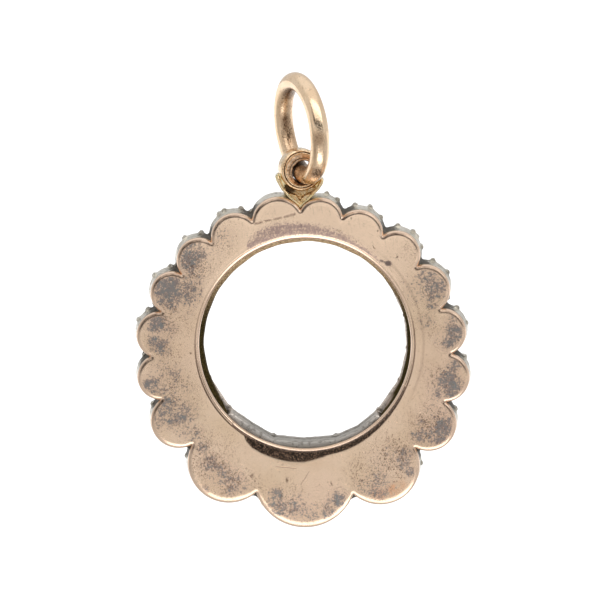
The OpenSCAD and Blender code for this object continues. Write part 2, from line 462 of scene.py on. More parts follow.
def old_metal_group():
    """What age does to any of the metals: soft clouds, fine grain, small dark specks and hairlines."""
    sizes = {"Place": (0.0, 0.0, 0.0), "Cloud size": 4.0, "Grain size": 0.1, "Speck share": 0.2}
    group, given, out = shader_group("old metal", sizes, ("Cloud", "Grain", "Specks", "Hairlines"))
    place, grain_size = given["Place"], given["Grain size"]
    join(ramped(noise_at(place, 1.0 / given["Cloud size"], 3.0, 0.55), 0.3, 0.7), out["Cloud"])
    join(noise_at(place, 1.0 / grain_size, 3.0, 0.6), out["Grain"])
    spots = noise_at(place, 1.0 / (grain_size * 2.2), 2.0, 0.7)
    join(ramped(spots - (0.8 - given["Speck share"] * 0.5), 0.0, 0.06), out["Specks"])
    lines = []
    for turn, stretch, shift in ((0.5, 34.0, 0.0), (-0.9, 27.0, 7.0), (1.4, 40.0, 13.0)):
        turned = {"Vector": place, "Angle": turn}
        turned = add(group, "ShaderNodeVectorRotate", turned, rotation_type="Y_AXIS")
        pulled = vectors("MULTIPLY", turned, (0.55, 1.0, stretch * 0.55))
        streaks = noise_at(vectors("ADD", pulled, (shift, 0.0, shift)), 1.0, 1.0)
        lines.append(ramped(streaks, 0.7, 0.74))
    join(greatest(*lines), out["Hairlines"])
    return group


def scratch_group():
    """One straight scratch between two points of the plate."""
    origin = (0.0, 0.0, 0.0)
    sizes = {"Place": origin, "Start": origin, "End": origin, "Width": 0.04}
    group, given, out = shader_group("scratch", sizes, ("Mask",))
    along = vectors("SUBTRACT", given["End"], given["Start"])
    offset = vectors("SUBTRACT", given["Place"], given["Start"])
    length2 = vectors("DOT_PRODUCT", along, along, output=1)
    share = maths("DIVIDE", vectors("DOT_PRODUCT", offset, along, output=1), length2, clamp=True)
    gap = vectors("DISTANCE", offset, scaled(along, share), output=1)
    join(ramped(gap, given["Width"] * 0.5, 0.0), out["Mask"])
    return group


OLD_METAL = old_metal_group()
SCRATCH = scratch_group()


def placed(group, inputs):
    """A node group in use at a place, among its other inputs: what it gives out, by name."""
    tree = inputs["Place"].tree
    made = tree.nodes.new("ShaderNodeGroup")
    made.node_tree = group
    for key, value in inputs.items():
        join(value, made.inputs[key])
    return all_outputs(tree, made)


def aged(place, cloud_size, grain_size, speck_share):
    """What age does to a metal at a place."""
    return placed(OLD_METAL, {"Place": place, "Cloud size": cloud_size, "Grain size": grain_size,
                              "Speck share": speck_share})


def new_material(name):
    """A material with a plain Principled shader: (material, tree, shader inputs, place in millimetres)."""
    material = bpy.data.materials.new(name)
    material.use_nodes = True
    tree = material.node_tree
    tree.nodes.clear()
    shader = tree.nodes.new("ShaderNodeBsdfPrincipled")
    output = tree.nodes.new("ShaderNodeOutputMaterial")
    tree.links.new(shader.outputs[0], output.inputs["Surface"])
    where = add(tree, "ShaderNodeTexCoord", output="Object")
    place = add(tree, "ShaderNodeMapping", {"Vector": where, "Scale": (1 / MM,) * 3})
    return material, tree, shader.inputs, place


def finish_metal(shader, tint, rough, metallic, height, depth):
    """Gives a metal its colour, roughness, share of metal, and a raised surface of that depth."""
    join(tint, shader["Base Color"])
    join(rough, shader["Roughness"])
    join(metallic, shader["Metallic"])
    raised = add(height.tree, "ShaderNodeBump", {"Height": height, "Distance": depth * MM, "Strength": 1.0})
    join(raised, shader["Normal"])


# --- Marks on the gold back ---------------------------------------------------------------------------------

# Blue-grey tarnish: how far right and up from the middle of the opening, radius and strength
TARNISH = (
    (-8.4, 6.3, 1.05, 0.95), (-7.7, 6.6, 0.8, 0.75), (-8.3, 5.5, 0.6, 0.7), (-7.5, 5.5, 0.8, 0.45),
    (-9.8, 3.9, 1.2, 1.0), (-8.9, 4.1, 0.9, 0.75), (-8.3, 3.7, 0.8, 0.8), (-8.0, 4.8, 0.8, 0.65),
    (-9.4, 3.0, 0.8, 0.6), (-8.6, 2.6, 0.8, 0.4), (-10.5, 1.5, 0.7, 0.9), (-9.8, 1.1, 0.55, 0.75),
    (-10.5, 0.1, 0.65, 0.85), (-10.2, -0.5, 0.5, 0.7), (-10.3, -1.6, 0.7, 0.5), (-11.0, -3.0, 0.65, 0.9),
    (-10.3, -3.2, 0.6, 0.75), (-9.8, -2.6, 1.2, 0.6), (-8.8, -3.4, 1.0, 0.45), (-9.9, -4.6, 0.85, 0.85),
    (-10.5, -5.4, 0.6, 0.8), (-9.5, -5.2, 0.8, 0.75), (-8.7, -5.0, 0.8, 0.85), (-8.6, -6.2, 0.7, 0.55),
    (-7.9, -6.5, 0.7, 0.6), (-7.4, -7.5, 0.5, 0.7), (-6.9, -8.7, 0.6, 0.8), (-6.1, -9.3, 0.8, 0.75),
    (-5.3, -10.1, 0.9, 0.7), (-4.7, -10.4, 0.6, 0.6), (-7.2, -10.5, 0.35, 0.7), (-2.1, -11.0, 0.55, 0.82),
    (-2.0, -11.9, 0.75, 0.85), (-0.6, -11.9, 0.9, 0.7), (0.5, -12.3, 0.6, 0.7), (1.7, -12.1, 0.6, 0.85),
    (2.4, -11.3, 0.6, 0.85), (5.2, -10.4, 1.0, 0.75), (4.3, -10.1, 0.6, 0.65), (7.2, -8.0, 0.6, 0.8),
    (7.1, -8.7, 0.5, 0.75), (7.6, -9.3, 0.4, 0.8), (6.3, -7.9, 0.8, 0.5), (5.3, -8.6, 1.2, 0.4),
    (10.0, -6.0, 0.8, 0.95), (9.4, -6.7, 0.75, 0.9), (8.3, -6.6, 0.6, 0.8), (8.4, -5.8, 0.5, 0.65),
    (9.7, -5.1, 0.6, 0.6), (9.1, -4.7, 0.6, 0.5), (10.7, -1.6, 0.5, 0.9), (10.3, -2.7, 0.8, 0.95),
    (10.6, -3.3, 0.7, 0.95), (9.7, -3.3, 0.8, 0.65), (9.3, -2.4, 0.9, 0.4), (10.7, 0.8, 0.65, 1.0),
    (10.3, 0.2, 0.5, 0.9), (10.6, 1.7, 0.5, 0.7), (9.7, 0.6, 0.7, 0.45), (9.5, 4.0, 0.75, 0.9),
    (8.8, 4.6, 0.8, 0.8), (9.1, 3.0, 0.55, 0.7), (8.1, 4.0, 0.9, 0.55), (8.7, 1.6, 0.6, 0.55),
    (7.7, 6.7, 0.7, 0.35), (-5.8, 7.9, 0.8, 0.5), (-6.2, 7.0, 0.7, 0.4), (-9.3, 5.0, 0.7, 0.5),
    (-3.9, -10.2, 0.6, 0.4),
)
# The purple-grey smear along the top of the opening: direction and how far it reaches into the gold there
SMEAR = (
    (-32, 0), (-30, 1.05), (-23, 1.48), (-17, 1.65), (-7, 1.52), (2, 1.4), (8, 1.2), (15, 1.15), (24, 0.98),
    (34, 0.88), (42, 0.7), (48, 0),
)
# Warm orange stains: how far right and up, radius and strength
WARM_STAINS = ((6.4, -10.6, 0.45, 0.8), (5.3, -10.9, 0.45, 0.6), (7.0, -10.2, 0.35, 0.4))
# A small dark stain and its thin trail
STAIN = ((5.95, 5.85), (5.4, 6.05))
# Scratches: start, end and width
SCRATCHES = (
    ((-2.1, -8.85), (-0.6, -9.0), 0.07),
    ((-0.3, -10.2), (0.3, -9.2), 0.06),
    ((5.1, -6.7), (5.1, -7.15), 0.07),
    ((5.9, -6.35), (5.8, -7.0), 0.06),
    ((-3.95, -9.5), (-3.85, -9.65), 0.13),
    ((-1.35, -9.8), (-1.25, -9.85), 0.1),
    ((-7.9, 6.0), (-7.3, 5.4), 0.06),
    ((-8.7, 3.9), (-8.2, 3.4), 0.06),
    ((6.5, 6.25), (6.65, 6.4), 0.07),
    ((-3.55, 8.72), (-3.1, 8.84), 0.3),
    ((-2.8, 8.93), (-2.45, 9.0), 0.24),
    ((-2.2, 9.05), (-1.7, 9.16), 0.26),
    ((-1.45, 9.22), (-1.15, 9.3), 0.28),
    ((-1.0, 9.34), (-0.75, 9.42), 0.34),
    ((-4.1, -5.9), (-4.0, -6.4), 0.05),
    ((7.9, 1.2), (7.7, 0.4), 0.05),
    ((-7.0, 9.0), (-6.3, 8.5), 0.05),
)
# Single dark dots: how far right and up, radius and strength
DOTS = (
    (-3.8, -9.55, 0.09, 1), (-1.3, -9.85, 0.08, 1), (4.5, -8.45, 0.07, 1), (-4.8, -8.5, 0.06, 1),
    (-8.2, -0.65, 0.06, 1), (8.1, -5.9, 0.07, 1), (3.3, 9.1, 0.05, 1), (6.6, 6.3, 0.06, 1),
    (1.9, -10.1, 0.05, 1), (-6.3, -6.6, 0.05, 1), (5.2, 8.2, 0.05, 1), (0.9, -9.3, 0.05, 1),
    (-2.6, -10.6, 0.06, 1),
)
# The worn, dished crescent below the opening: direction and how far it reaches into the gold there
CRESCENT = (
    (112, 0), (113, 0.29), (120, 0.37), (130, 0.43), (140, 0.5), (150, 0.59), (160, 0.62), (168, 0.61),
    (175, 0.79), (180, 0.95), (190, 0.99), (200, 0.93), (207, 0.82), (211, 0.62), (214, 0.32), (222, 0.29),
    (223, 0),
)
CRESCENT_SLOPE = math.tan(math.radians(12))
# The fine seam of the lining round the opening: direction and how dark it is there
SEAM_R = OPENING_R + 0.28
SEAM = (
    (0, 0.2), (70, 0.35), (84, 0.9), (110, 1), (122, 0.5), (130, 0), (205, 0), (214, 0.8), (225, 1), (262, 1),
    (278, 0.6), (300, 0.3), (359, 0.2),
)
# How far down the lining's wall is painted black as shade: direction from the top, and share of its depth
LINING_DARK = ((-137, 0.3), (-130, 0.7), (-122, 1), (108, 1), (118, 0.8), (128, 0.5), (137, 0.3))
# A painted dark reflection along the inside of each scallop's edge, strongest where the edge faces up: how
# far inside the edge, and half its width
RIM_REFLECTION_IN, RIM_REFLECTION_HALF = 0.17, 0.08
# Radius of the faint line that a turning tool left
TOOL_LINE_R = 8.5
# Fine dark specks: how far right and up, radius and strength
SPECKLE = (
    (-9.5, 2.0, 1.5, 0.7), (-9.8, -0.8, 1.4, 0.6), (-9.3, -3.4, 1.6, 0.7), (-8.6, -5.8, 1.5, 0.6),
    (-6.8, -8.2, 2.0, 0.9), (-5.6, -9.6, 1.6, 0.9), (-3.4, -10.6, 1.4, 0.6), (-1.2, -11.4, 1.6, 0.7),
    (1.6, -11.3, 1.4, 0.6), (4.4, -9.6, 1.8, 0.8), (6.6, -8.2, 1.8, 0.9), (8.8, -5.8, 1.7, 0.9),
    (9.8, -2.6, 1.3, 0.7), (10.0, 0.6, 1.2, 0.6), (9.0, 3.6, 1.3, 0.6), (-8.0, 5.4, 1.6, 0.8),
    (-6.1, 7.5, 1.1, 0.7), (7.6, 7.0, 0.9, 0.5),
)


# --- The gold back ------------------------------------------------------------------------------------------

def outline_columns(per_scallop):
    """Points round the scalloped edge, evenly along each scallop from notch to notch."""
    points = []
    for i in range(SCALLOP_COUNT):
        middle, r, first, sweep = scallop_arc(i)
        for k in range(per_scallop):
            turn = first + sweep * k / per_scallop
            points.append(middle + r * np.array([math.cos(turn), math.sin(turn)]))
    return np.array(points)


def from_edge(points):
    """The distance of each point of the plate from the scalloped edge."""
    nearest = to_notches(points)
    for i in range(SCALLOP_COUNT):
        middle, r, first, sweep = scallop_arc(i)
        offset = points - middle
        turn = (np.arctan2(offset[..., 1], offset[..., 0]) - first) % math.tau
        gap = np.abs(r - np.linalg.norm(offset, axis=-1))
        nearest = np.where(turn <= sweep, np.minimum(nearest, gap), nearest)
    return nearest


def edge_drop(gap, broad, tight):
    """The drop of an edge at a distance from it: a broad arc down to a 30 degree slope, then a tight one."""
    upper = np.clip(0.5 * (broad + tight) - gap, 0, 0.5 * broad)
    lower = np.clip(0.5 * tight - gap, 0, 0.5 * tight)
    turned = (0.5 * tight + lower) / tight
    drop = broad - np.sqrt(broad**2 - upper**2)
    return drop + tight * (math.cos(math.radians(30)) - np.sqrt(np.maximum(1 - turned**2, 0)))


def near_line(points, line, half):
    """1 on a line through the given points of the plate, fading to 0 at that distance from it."""
    nearest = np.full(points.shape[:-1], np.inf)
    ends = [on_back(*p) for p in line]
    for a, b in zip(ends, ends[1:]):
        way = b - a
        share = np.clip(((points - a) @ way) / (way @ way), 0, 1)
        nearest = np.minimum(nearest, np.linalg.norm(points - a - share[..., None] * way, axis=-1))
    return np.clip(1 - nearest / half, 0, 1)


# Rows of corners on the plate's face: how far in from the scalloped edge, how far out from the opening, and
# how many between the two. They draw together where the plate is narrower than the full width.
OUTER_ROWS = (0, 0.01, 0.03, 0.055, 0.085, 0.12, 0.155, 0.19, 0.23, 0.275, 0.325, 0.38, 0.44, 0.51, 0.6, 0.72,
              0.87, 1.05, 1.25)
INNER_ROWS = (1.02, 0.94, 0.86, 0.78, 0.71, 0.64, 0.58, 0.52, 0.46, 0.41, 0.36, 0.31, 0.27, 0.23, 0.19, 0.155,
              0.125, 0.095, 0.07, 0.045, 0.025, 0.01, 0)
MIDDLE_ROWS = 11
FULL_WIDTH = 2.2


def face_rows(edge):
    """The corners of the plate's face, row after row from the scalloped edge to the opening."""
    reach = np.linalg.norm(edge, axis=1)
    shrink = np.minimum(1, (reach - OPENING_R) / FULL_WIDTH)
    rows = [reach - s * shrink for s in OUTER_ROWS]
    start, end = rows[-1], OPENING_R + INNER_ROWS[0] * shrink
    rows += [start + (end - start) * k / (MIDDLE_ROWS + 1) for k in range(1, MIDDLE_ROWS + 1)]
    rows += [OPENING_R + t * shrink for t in INNER_ROWS]
    return np.array([row[:, None] * edge / reach[:, None] for row in rows])


def face_drop(flat):
    """How far the plate's face drops: rounded edges, the dished crescent and soft waves."""
    distance = np.linalg.norm(flat, axis=-1)
    gap, from_hole = from_edge(flat), distance - OPENING_R
    # From -1 at the bottom to 1 at the top
    towards_top = flat[..., 1] / distance
    low = np.clip((-flat[..., 1] - 4.5) / 5, 0, 1) * np.clip(to_notches(flat) / 1.1, 0, 1)
    drop = edge_drop(gap, 0.32 + 0.12 * (1 - np.abs(towards_top)) + 0.5 * low, 0.25 - 0.03 * low)
    above = np.clip(1.4 * towards_top + 0.35 * flat[..., 0] / distance, 0, 1)
    below = np.clip(-1.6 * towards_top - 0.3, 0, 1)
    drop += edge_drop(from_hole, 0.34 + 0.7 * above - 0.14 * below, 0.24 - 0.06 * below)
    drop += CRESCENT_SLOPE * np.clip(charted(direction_of(flat), CRESCENT) - from_hole, 0, None)
    in_space = np.concatenate([flat, 0 * flat[..., :1]], axis=-1)
    wavy = uneven(in_space.reshape(-1, 3), 3.5, 1).reshape(gap.shape)
    return drop + 0.012 * (1 + wavy) * np.clip(gap / 0.5, 0, 1) * np.clip(from_hole / 0.5, 0, 1)


def rose_gold_back():
    """The gold plate: rounded at both edges, dished and worn below its opening, with its lining."""
    edge = outline_columns(per_scallop=88)
    flat = face_rows(edge)
    face = np.concatenate([flat, face_drop(flat)[..., None]], axis=-1)

    # The walls and the hidden underside close the plate
    reach = np.linalg.norm(edge, axis=1)[:, None]
    fold, wall_end = 0.03, GOLD_T - 0.02
    levels = (
        (OPENING_R, wall_end), (OPENING_R, GOLD_T), (OPENING_R + fold, GOLD_T), (reach - fold, GOLD_T),
        (reach, GOLD_T), (reach, wall_end),
    )
    closing = [np.concatenate([r * edge / reach, np.full_like(reach, h)], axis=1) for r, h in levels]
    layers = np.concatenate([face, closing])
    points = layers.reshape(-1, 3)
    faces = band_faces(len(layers), len(edge), closed=True)

    lining, lining_faces = gold_lining(len(points))
    mesh = joined(mesh_of("rose_gold_back", np.concatenate([points, lining]).tolist(), faces + lining_faces))
    masks, on_lining = back_masks(points[:, :2], edge), lining_masks(lining)
    masks["wall"][flat[..., 0].size:] = 1
    for name, values in masks.items():
        set_mask(mesh, name, np.concatenate([values, on_lining.get(name, np.zeros(len(lining)))]))
    into_place(mesh, IN_PLATE)
    smooth_faces(mesh, crease=40)
    return mesh


def patches(flat, table, core, spread=1):
    """The strongest of a table's round patches at each point of the plate: a full core that fades away."""
    strongest = np.zeros(len(flat))
    for right, up, r, strength in table:
        far = np.linalg.norm(flat - on_back(right, up), axis=1)
        strongest = np.maximum(strongest, strength * np.clip(core - far / (spread * r), 0, 1))
    return strongest


def stain_mask(flat):
    """The small dark stain, heavier at its blot than along its trail."""
    blot = np.linalg.norm((flat - on_back(*STAIN[0])) / np.array([1.0, 0.75]), axis=1)
    return np.maximum(np.clip(1.5 - blot / 0.26, 0, 1), 0.85 * near_line(flat, STAIN, 0.18))


def back_masks(flat, edge):
    """Where the gold plate is marked, at each of its corners, which lie in columns from the edge inwards."""
    around, to_edge = direction_of(flat), from_edge(flat)
    from_lip = np.linalg.norm(flat, axis=1) - OPENING_R
    middles = np.repeat([scallop_centre(i) for i in range(SCALLOP_COUNT)], len(edge) // SCALLOP_COUNT, axis=0)
    outward = (edge - middles) / np.linalg.norm(edge - middles, axis=1)[:, None]
    # Edges that face up get the painted dark reflection inside the rim
    upward = np.tile(np.clip(0.15 + 0.8 * outward[:, 1] + 0.25 * outward[:, 0], 0, 1), len(flat) // len(edge))
    crescent = np.clip((charted(around, CRESCENT) - from_lip) / 0.05, 0, 1)
    smear = np.clip((charted(either_side(around), SMEAR) - from_lip) / 0.6 + 0.2, 0, 1)
    return {
        "tarnish": patches(flat, TARNISH, 1.4, 1.5),
        "dots": patches(flat, DOTS, 1.6),
        "stain": stain_mask(flat),
        "warm_stain": patches(flat, WARM_STAINS, 1.5),
        "speckle": patches(flat, SPECKLE, 1.5),
        "crescent": crescent * np.clip((from_lip - 0.1) / 0.05, 0, 1),
        "seam": charted(around, SEAM),
        "smear": smear * np.clip((from_lip - 0.26) / 0.1, 0, 1),
        "lip_dark_reflection": np.clip(1.3 - from_lip / 0.1, 0, 1) * np.clip((flat[:, 1] - 1.0) / 3, 0, 1),
        "flat_face": np.clip(np.minimum(to_edge, from_lip) / 0.24 - 0.4, 0, 1),
        "notch_darkening": np.clip(1 - to_notches(flat) / 0.4, 0, 1),
        "rim_dark_reflection": np.clip(1.6 - np.abs(to_edge - RIM_REFLECTION_IN) / RIM_REFLECTION_HALF, 0, 1) * upward,
        "wall": np.zeros(len(flat)),
        "lining": np.zeros(len(flat)),
    }


def lining_masks(points):
    """Where the gold lining's wall is painted black as shade, at each of its corners."""
    dark = charted(either_side(direction_of(points)), LINING_DARK)
    depth = GOLD_T + (LINING_TOP - GOLD_T) * dark
    return {"wall": np.clip((depth - points[:, 2]) / 0.15 + 0.5, 0, 1), "lining": np.ones(len(points))}


# The lining's section: share of its depth, share of its lean, how far into the metal, and how far it is
# rounded off there
LINING_WALL, LINING_SOFT = 0.2, 0.05
LINING_SECTION = (
    (0, 0, 0, 0), (0.33, 0.35, 0, 0), (0.67, 0.7, 0, 0), (1, 1, 0, LINING_SOFT),
    (1, 1, 0.3 * LINING_SOFT, 0.3 * LINING_SOFT), (1, 1, LINING_SOFT, 0),
    (1, 1, LINING_WALL - LINING_SOFT, 0), (1, 1, LINING_WALL, LINING_SOFT), (0, 0, LINING_WALL, 0),
)


def gold_lining(first):
    """The thin lining of the opening, tapering towards the stones and missing behind the largest three."""
    steps, feather, least = 300, 10, 0.12
    sweep = LINING_END + 360 - LINING_START
    points = []
    for k in range(steps + 1):
        passed = sweep * k / steps
        turn = LINING_START + passed
        angle = math.radians(turn)
        ripple = 0.012 * math.sin(11 * angle) + 0.01 * math.sin(23 * angle + math.radians(40))
        full = min(1, passed / feather + least, (sweep - passed) / feather + least)
        lean = 0.22 + 0.17 * max(0, math.cos(angle)) + 0.12 * max(0, -math.sin(angle))
        for down, inward, into, sink in LINING_SECTION:
            h = GOLD_T + (down * (LINING_TOP - GOLD_T) - sink) * full
            x, z = polar(turn, OPENING_R - inward * lean * full + into + ripple * (h - GOLD_T))
            points.append((x, z, h))
    count = len(LINING_SECTION)
    last = first + steps * count
    faces = band_faces(steps + 1, count, first)
    faces += [tuple(range(first, first + count)), tuple(reversed(range(last, last + count)))]
    return np.array(points), faces


def rose_gold():
    """Rose gold with a satin face: tarnish in blue-grey specks, a smear, a stain, scratches, a worn lip, and
    painted sheen, highlights, dark reflections and shade.
    """
    material, tree, shader, place = new_material("rose_gold")
    age = aged(place, 3.5, 0.11, 0.28)
    high = split(place)[2]
    on_face, lining, wall = (mask_of(tree, name) for name in ("flat_face", "lining", "wall"))
    lumps = clouded(place, 0.9, detail=3.0, roughness=0.6)
    flecks = clouded(place, 0.32, detail=4.0, roughness=0.7)
    specks = clouded(place, 0.11, detail=3.0, roughness=0.8)
    grains = clouded(place, 0.1, detail=3.0, roughness=0.8)

    tint = mixed(age["Cloud"], colour(225, 198, 168), colour(236, 211, 184))
    tint = mixed(clouded(place, 7.0) * 0.4, tint, colour(232, 194, 170))
    # Lighter towards the top: a painted sheen
    tint = mixed(ramped(high, PLATE_Z + 1, PLATE_Z + 9, 0, 0.8), tint, colour(255, 225, 196))
    warm = mask_of(tree, "warm_stain") * clouded(place, 0.4, detail=3.0)
    tint = mixed(warm, tint, colour(232, 158, 104))

    # Tarnish lies in fine specks that thicken into clouds, brown at their thin edges and grey in the middle
    thick = mask_of(tree, "tarnish") * on_face * blended(lumps, 0.65, 1.15)
    cover = thick + (flecks * 0.62 + specks * 0.9) - 1.24
    tarnish = greatest(ramped(cover, -0.08, 0.4) * ramped(thick, 0.02, 0.25), thick * 0.22)
    core = mixed(clouded(place, 0.5), colour(112, 124, 128), colour(128, 118, 118))
    dull = mixed(ramped(cover, 0.08, 0.45), colour(156, 126, 114), core)
    tint = mixed(tarnish * 0.88, tint, dull)
    crowd = mask_of(tree, "speckle") * on_face * blended(clouded(place, 1.1), 0.4, 1.0)
    dots = clouded(place, 0.085, roughness=0.75) - (0.96 - crowd * 0.46)
    tint = mixed(ramped(dots, -0.04, 0.06) * 0.85, tint, colour(112, 84, 66))
    tint = mixed(mask_of(tree, "dots") * 0.8, tint, colour(92, 66, 52))

    # The smear above the opening, the stain, and the gritty crescent below
    smeared = mask_of(tree, "smear")
    smear = ramped(smeared * 0.75 + (grains + flecks * 0.35) - 1.05, 0.0, 0.5) * ramped(smeared, 0.0, 0.3)
    tint = mixed(smear * 0.85, tint, colour(164, 138, 136))
    stain = ramped(mask_of(tree, "stain") * blended(specks, 0.5, 1.1), 0.2, 0.7)
    tint = mixed(stain * 0.85, tint, colour(92, 80, 84))
    tint = mixed(age["Specks"] * 0.55, tint, colour(138, 112, 96))
    crescent = mask_of(tree, "crescent")
    grit = mixed(ramped(specks, 0.45, 0.85), colour(34, 24, 18), colour(190, 154, 130))
    tint = mixed(crescent * 0.94, tint, grit)

    # Darker near the notches, paler edges as a painted highlight, painted dark reflections at the rims and
    # the top of the lip, and the lining, its wall painted as shade
    # Darker near the notches
    tint = mixed(mask_of(tree, "notch_darkening") * 0.25, tint, colour(110, 84, 66))
    # Paler at the rounded edges: a painted highlight tint
    tint = mixed((1.0 - on_face) * 0.5, tint, colour(244, 214, 192))
    # A painted dark reflection just inside the edge of each scallop
    rim = mask_of(tree, "rim_dark_reflection") * blended(lumps, 0.55, 1.15)
    tint = mixed(rim * 0.95, tint, colour(40, 23, 15))
    # A painted dark reflection on the lip at the top of the opening, where it turns inward
    lip_reflection = mask_of(tree, "lip_dark_reflection") * blended(grains, 0.7, 1.0)
    tint = mixed(lip_reflection, tint, colour(132, 92, 54))
    tint = mixed(lining, tint, colour(176, 158, 146))
    # The opening's wall is painted as shade: near-black and unreflecting low down, gilt higher up
    black = mixed(ramped(grains, 0.3, 0.9), colour(24, 21, 9), colour(96, 82, 48))
    gilt = mixed(ramped(grains, 0.3, 0.75), colour(94, 62, 34), colour(244, 214, 170))
    tint = mixed(wall, tint, mixed(ramped(high, PLATE_Z + 1.0, PLATE_Z + 6.8), black, gilt))

    # Scratches, the turning tool's line and the seam of the lining
    marks = greatest(*scratches(place)) * blended(grains, 0.35, 1.0)
    tint = mixed(marks * 0.75, tint, colour(128, 96, 84))
    tool = tool_line(place)
    tint = mixed(tool * 0.25, tint, colour(150, 122, 104))
    seam = ring_line(place, SEAM_R, 0.085) * mask_of(tree, "seam") * (1.0 - lining)
    tint = mixed(seam * 0.9, tint, colour(84, 54, 38))

    rough = blended(on_face, 0.23, 0.26) + greatest(tarnish, smear) * 0.2
    rough = rough + stain * 0.12 + greatest(wall, lining) * 0.4
    height = age["Grain"] * blended(crescent, 0.25, 0.9) - age["Hairlines"] * 0.15
    height = height - marks * 0.5 - tool * 0.2 - seam * 1.6
    shader["Specular IOR Level"].default_value = 0.0
    finish_metal(shader, tint, rough, blended(wall, 1.0, 0.0), height, 0.012)
    return material


def scratches(place):
    """Each scratch of the table. The place's depth is left out, so that it goes straight into the face."""
    flat = vectors("MULTIPLY", place, (1.0, 0.0, 1.0))
    marks = []
    for start, end, wide in SCRATCHES:
        (u0, v0), (u1, v1) = on_back(*start), on_back(*end)
        ends = {"Start": (PLATE_X + u0, 0, PLATE_Z + v0), "End": (PLATE_X + u1, 0, PLATE_Z + v1)}
        marks.append(placed(SCRATCH, {"Place": flat, "Width": wide, **ends})["Mask"])
    return marks


def ring_line(place, radius, half):
    """A line round the middle of the opening, 1 at that radius and 0 at half a width from it."""
    x, _, z = split(place)
    x, z = x - PLATE_X, z - PLATE_Z
    reach = maths("SQRT", x * x + z * z)
    return ramped(maths("ABSOLUTE", reach - radius), half, 0.0)


def tool_line(place):
    """The faint line that a turning tool left round the right side of the opening."""
    x, _, z = split(place)
    right, high = ramped(PLATE_X - x, 4.6, 6.8), ramped(z - PLATE_Z, -4.8, -2.5)
    return ring_line(place, TOOL_LINE_R, 0.17) * (right * high)


# --- The silver front ---------------------------------------------------------------------------------------

def geometry_tree(name, sizes):
    """An empty Geometry Nodes tree with named inputs for its sizes: (tree, given, result socket)."""
    tree = bpy.data.node_groups.new(name, "GeometryNodeTree")
    tree.interface.new_socket("Geometry", in_out="INPUT", socket_type="NodeSocketGeometry")
    for label, value in sizes.items():
        kind = "NodeSocketInt" if isinstance(value, int) else "NodeSocketFloat"
        tree.interface.new_socket(label, in_out="INPUT", socket_type=kind).default_value = value
    tree.interface.new_socket("Metal", in_out="INPUT", socket_type="NodeSocketMaterial")
    tree.interface.new_socket("Geometry", in_out="OUTPUT", socket_type="NodeSocketGeometry")
    given = all_outputs(tree, tree.nodes.new("NodeGroupInput"))
    return tree, given, tree.nodes.new("NodeGroupOutput").inputs[0]


def finish_solid(geometry, metal, out):
    """Ends a tree with one plain mesh, shaded smooth, of that metal."""
    solid = add(geometry.tree, "GeometryNodeRealizeInstances", {0: geometry})
    smooth = add(geometry.tree, "GeometryNodeSetShadeSmooth", {"Geometry": solid, "Shade Smooth": True})
    join(add(geometry.tree, "GeometryNodeSetMaterial", {"Geometry": smooth, "Material": metal}), out)


def run_tree(thing, tree, values):
    """Runs a Geometry Nodes tree on an object with those values and gives back the plain mesh it makes."""
    modifier = thing.modifiers.new(tree.name, "NODES")
    modifier.node_group = tree
    for item in tree.interface.items_tree:
        if item.item_type == "SOCKET" and item.in_out == "INPUT" and item.name in values:
            modifier[item.identifier] = values[item.name]
    return made_plain(thing)


CLAW_SIZES = {"Claw width": 0.38, "Claw height": 0.84, "Bend": 0.26, "Unevenness": 0.16, "Seed": 5}
GRAIN_SIZES = {"Claw width": 0.4, "Claw height": 0.62, "Bend": 0.3, "Unevenness": 0.12, "Seed": 11}


def claw_tree():
    """A claw on each point: a short wire that bends over the stone to a blunt tip and leans at random."""
    tree, given, out = geometry_tree("claws", CLAW_SIZES)
    back = given["Bend"] * -1.0
    shoulder = add(tree, "ShaderNodeCombineXYZ", {1: back * -0.1, 2: given["Claw height"] * 0.85})
    tip = add(tree, "ShaderNodeCombineXYZ", {1: back, 2: given["Claw height"]})
    bow = {"Resolution": 11, "Start": (0, 0, 0), "Middle": shoulder, "End": tip}
    spine = add(tree, "GeometryNodeCurveQuadraticBezier", bow)
    along = add(tree, "GeometryNodeSplineParameter", output="Factor")
    thinning = maths("SQRT", 1.0 - maths("POWER", along, 5.0))
    radius = greatest(given["Claw width"] * 0.5 * thinning, 0.01)
    section = add(tree, "GeometryNodeCurvePrimitiveCircle", {"Resolution": 12, "Radius": 1.0})
    wire = {"Curve": spine, "Profile Curve": section, "Scale": radius, "Fill Caps": True}
    claw = add(tree, "GeometryNodeCurveToMesh", wire)
    turn = add(tree, "GeometryNodeInputNamedAttribute", {"Name": "turn"}, "Attribute", data_type="FLOAT")
    loose = given["Unevenness"]

    def chance(low, high, offset):
        """A random value for each claw, between low and high times the unevenness."""
        seed = given["Seed"] + float(offset)
        value = add(tree, "FunctionNodeRandomValue", {"Seed": seed}, 1, data_type="FLOAT")
        return value * (high - low) * loose + loose * low

    lean = {0: chance(-0.9, 0.9, 1), 1: chance(-0.9, 0.9, 2), 2: turn + chance(-1.5, 1.5, 3)}
    facing = add(tree, "FunctionNodeEulerToRotation", {0: add(tree, "ShaderNodeCombineXYZ", lean)})
    growth = {0: 1.0 + chance(-0.9, 0.6, 4), 1: 1.0 + chance(-0.9, 0.4, 5), 2: 1.0 + chance(-0.4, 0.2, 6)}
    stand = {"Points": given["Geometry"], "Instance": claw, "Rotation": facing,
             "Scale": add(tree, "ShaderNodeCombineXYZ", growth)}
    finish_solid(add(tree, "GeometryNodeInstanceOnPoints", stand), given["Metal"], out)
    return tree


def claws_on(name, tree, places, sizes, metal):
    """A claw on each of the places, given as (turn in degrees, point of the plate, height of its foot)."""
    mesh = mesh_of(name, [(p[0], p[1], foot) for _, p, foot in places])
    set_mask(mesh, "turn", [math.radians(turn) for turn, _, _ in places])
    return run_tree(in_scene(name, mesh), tree, {**sizes, "Metal": metal})


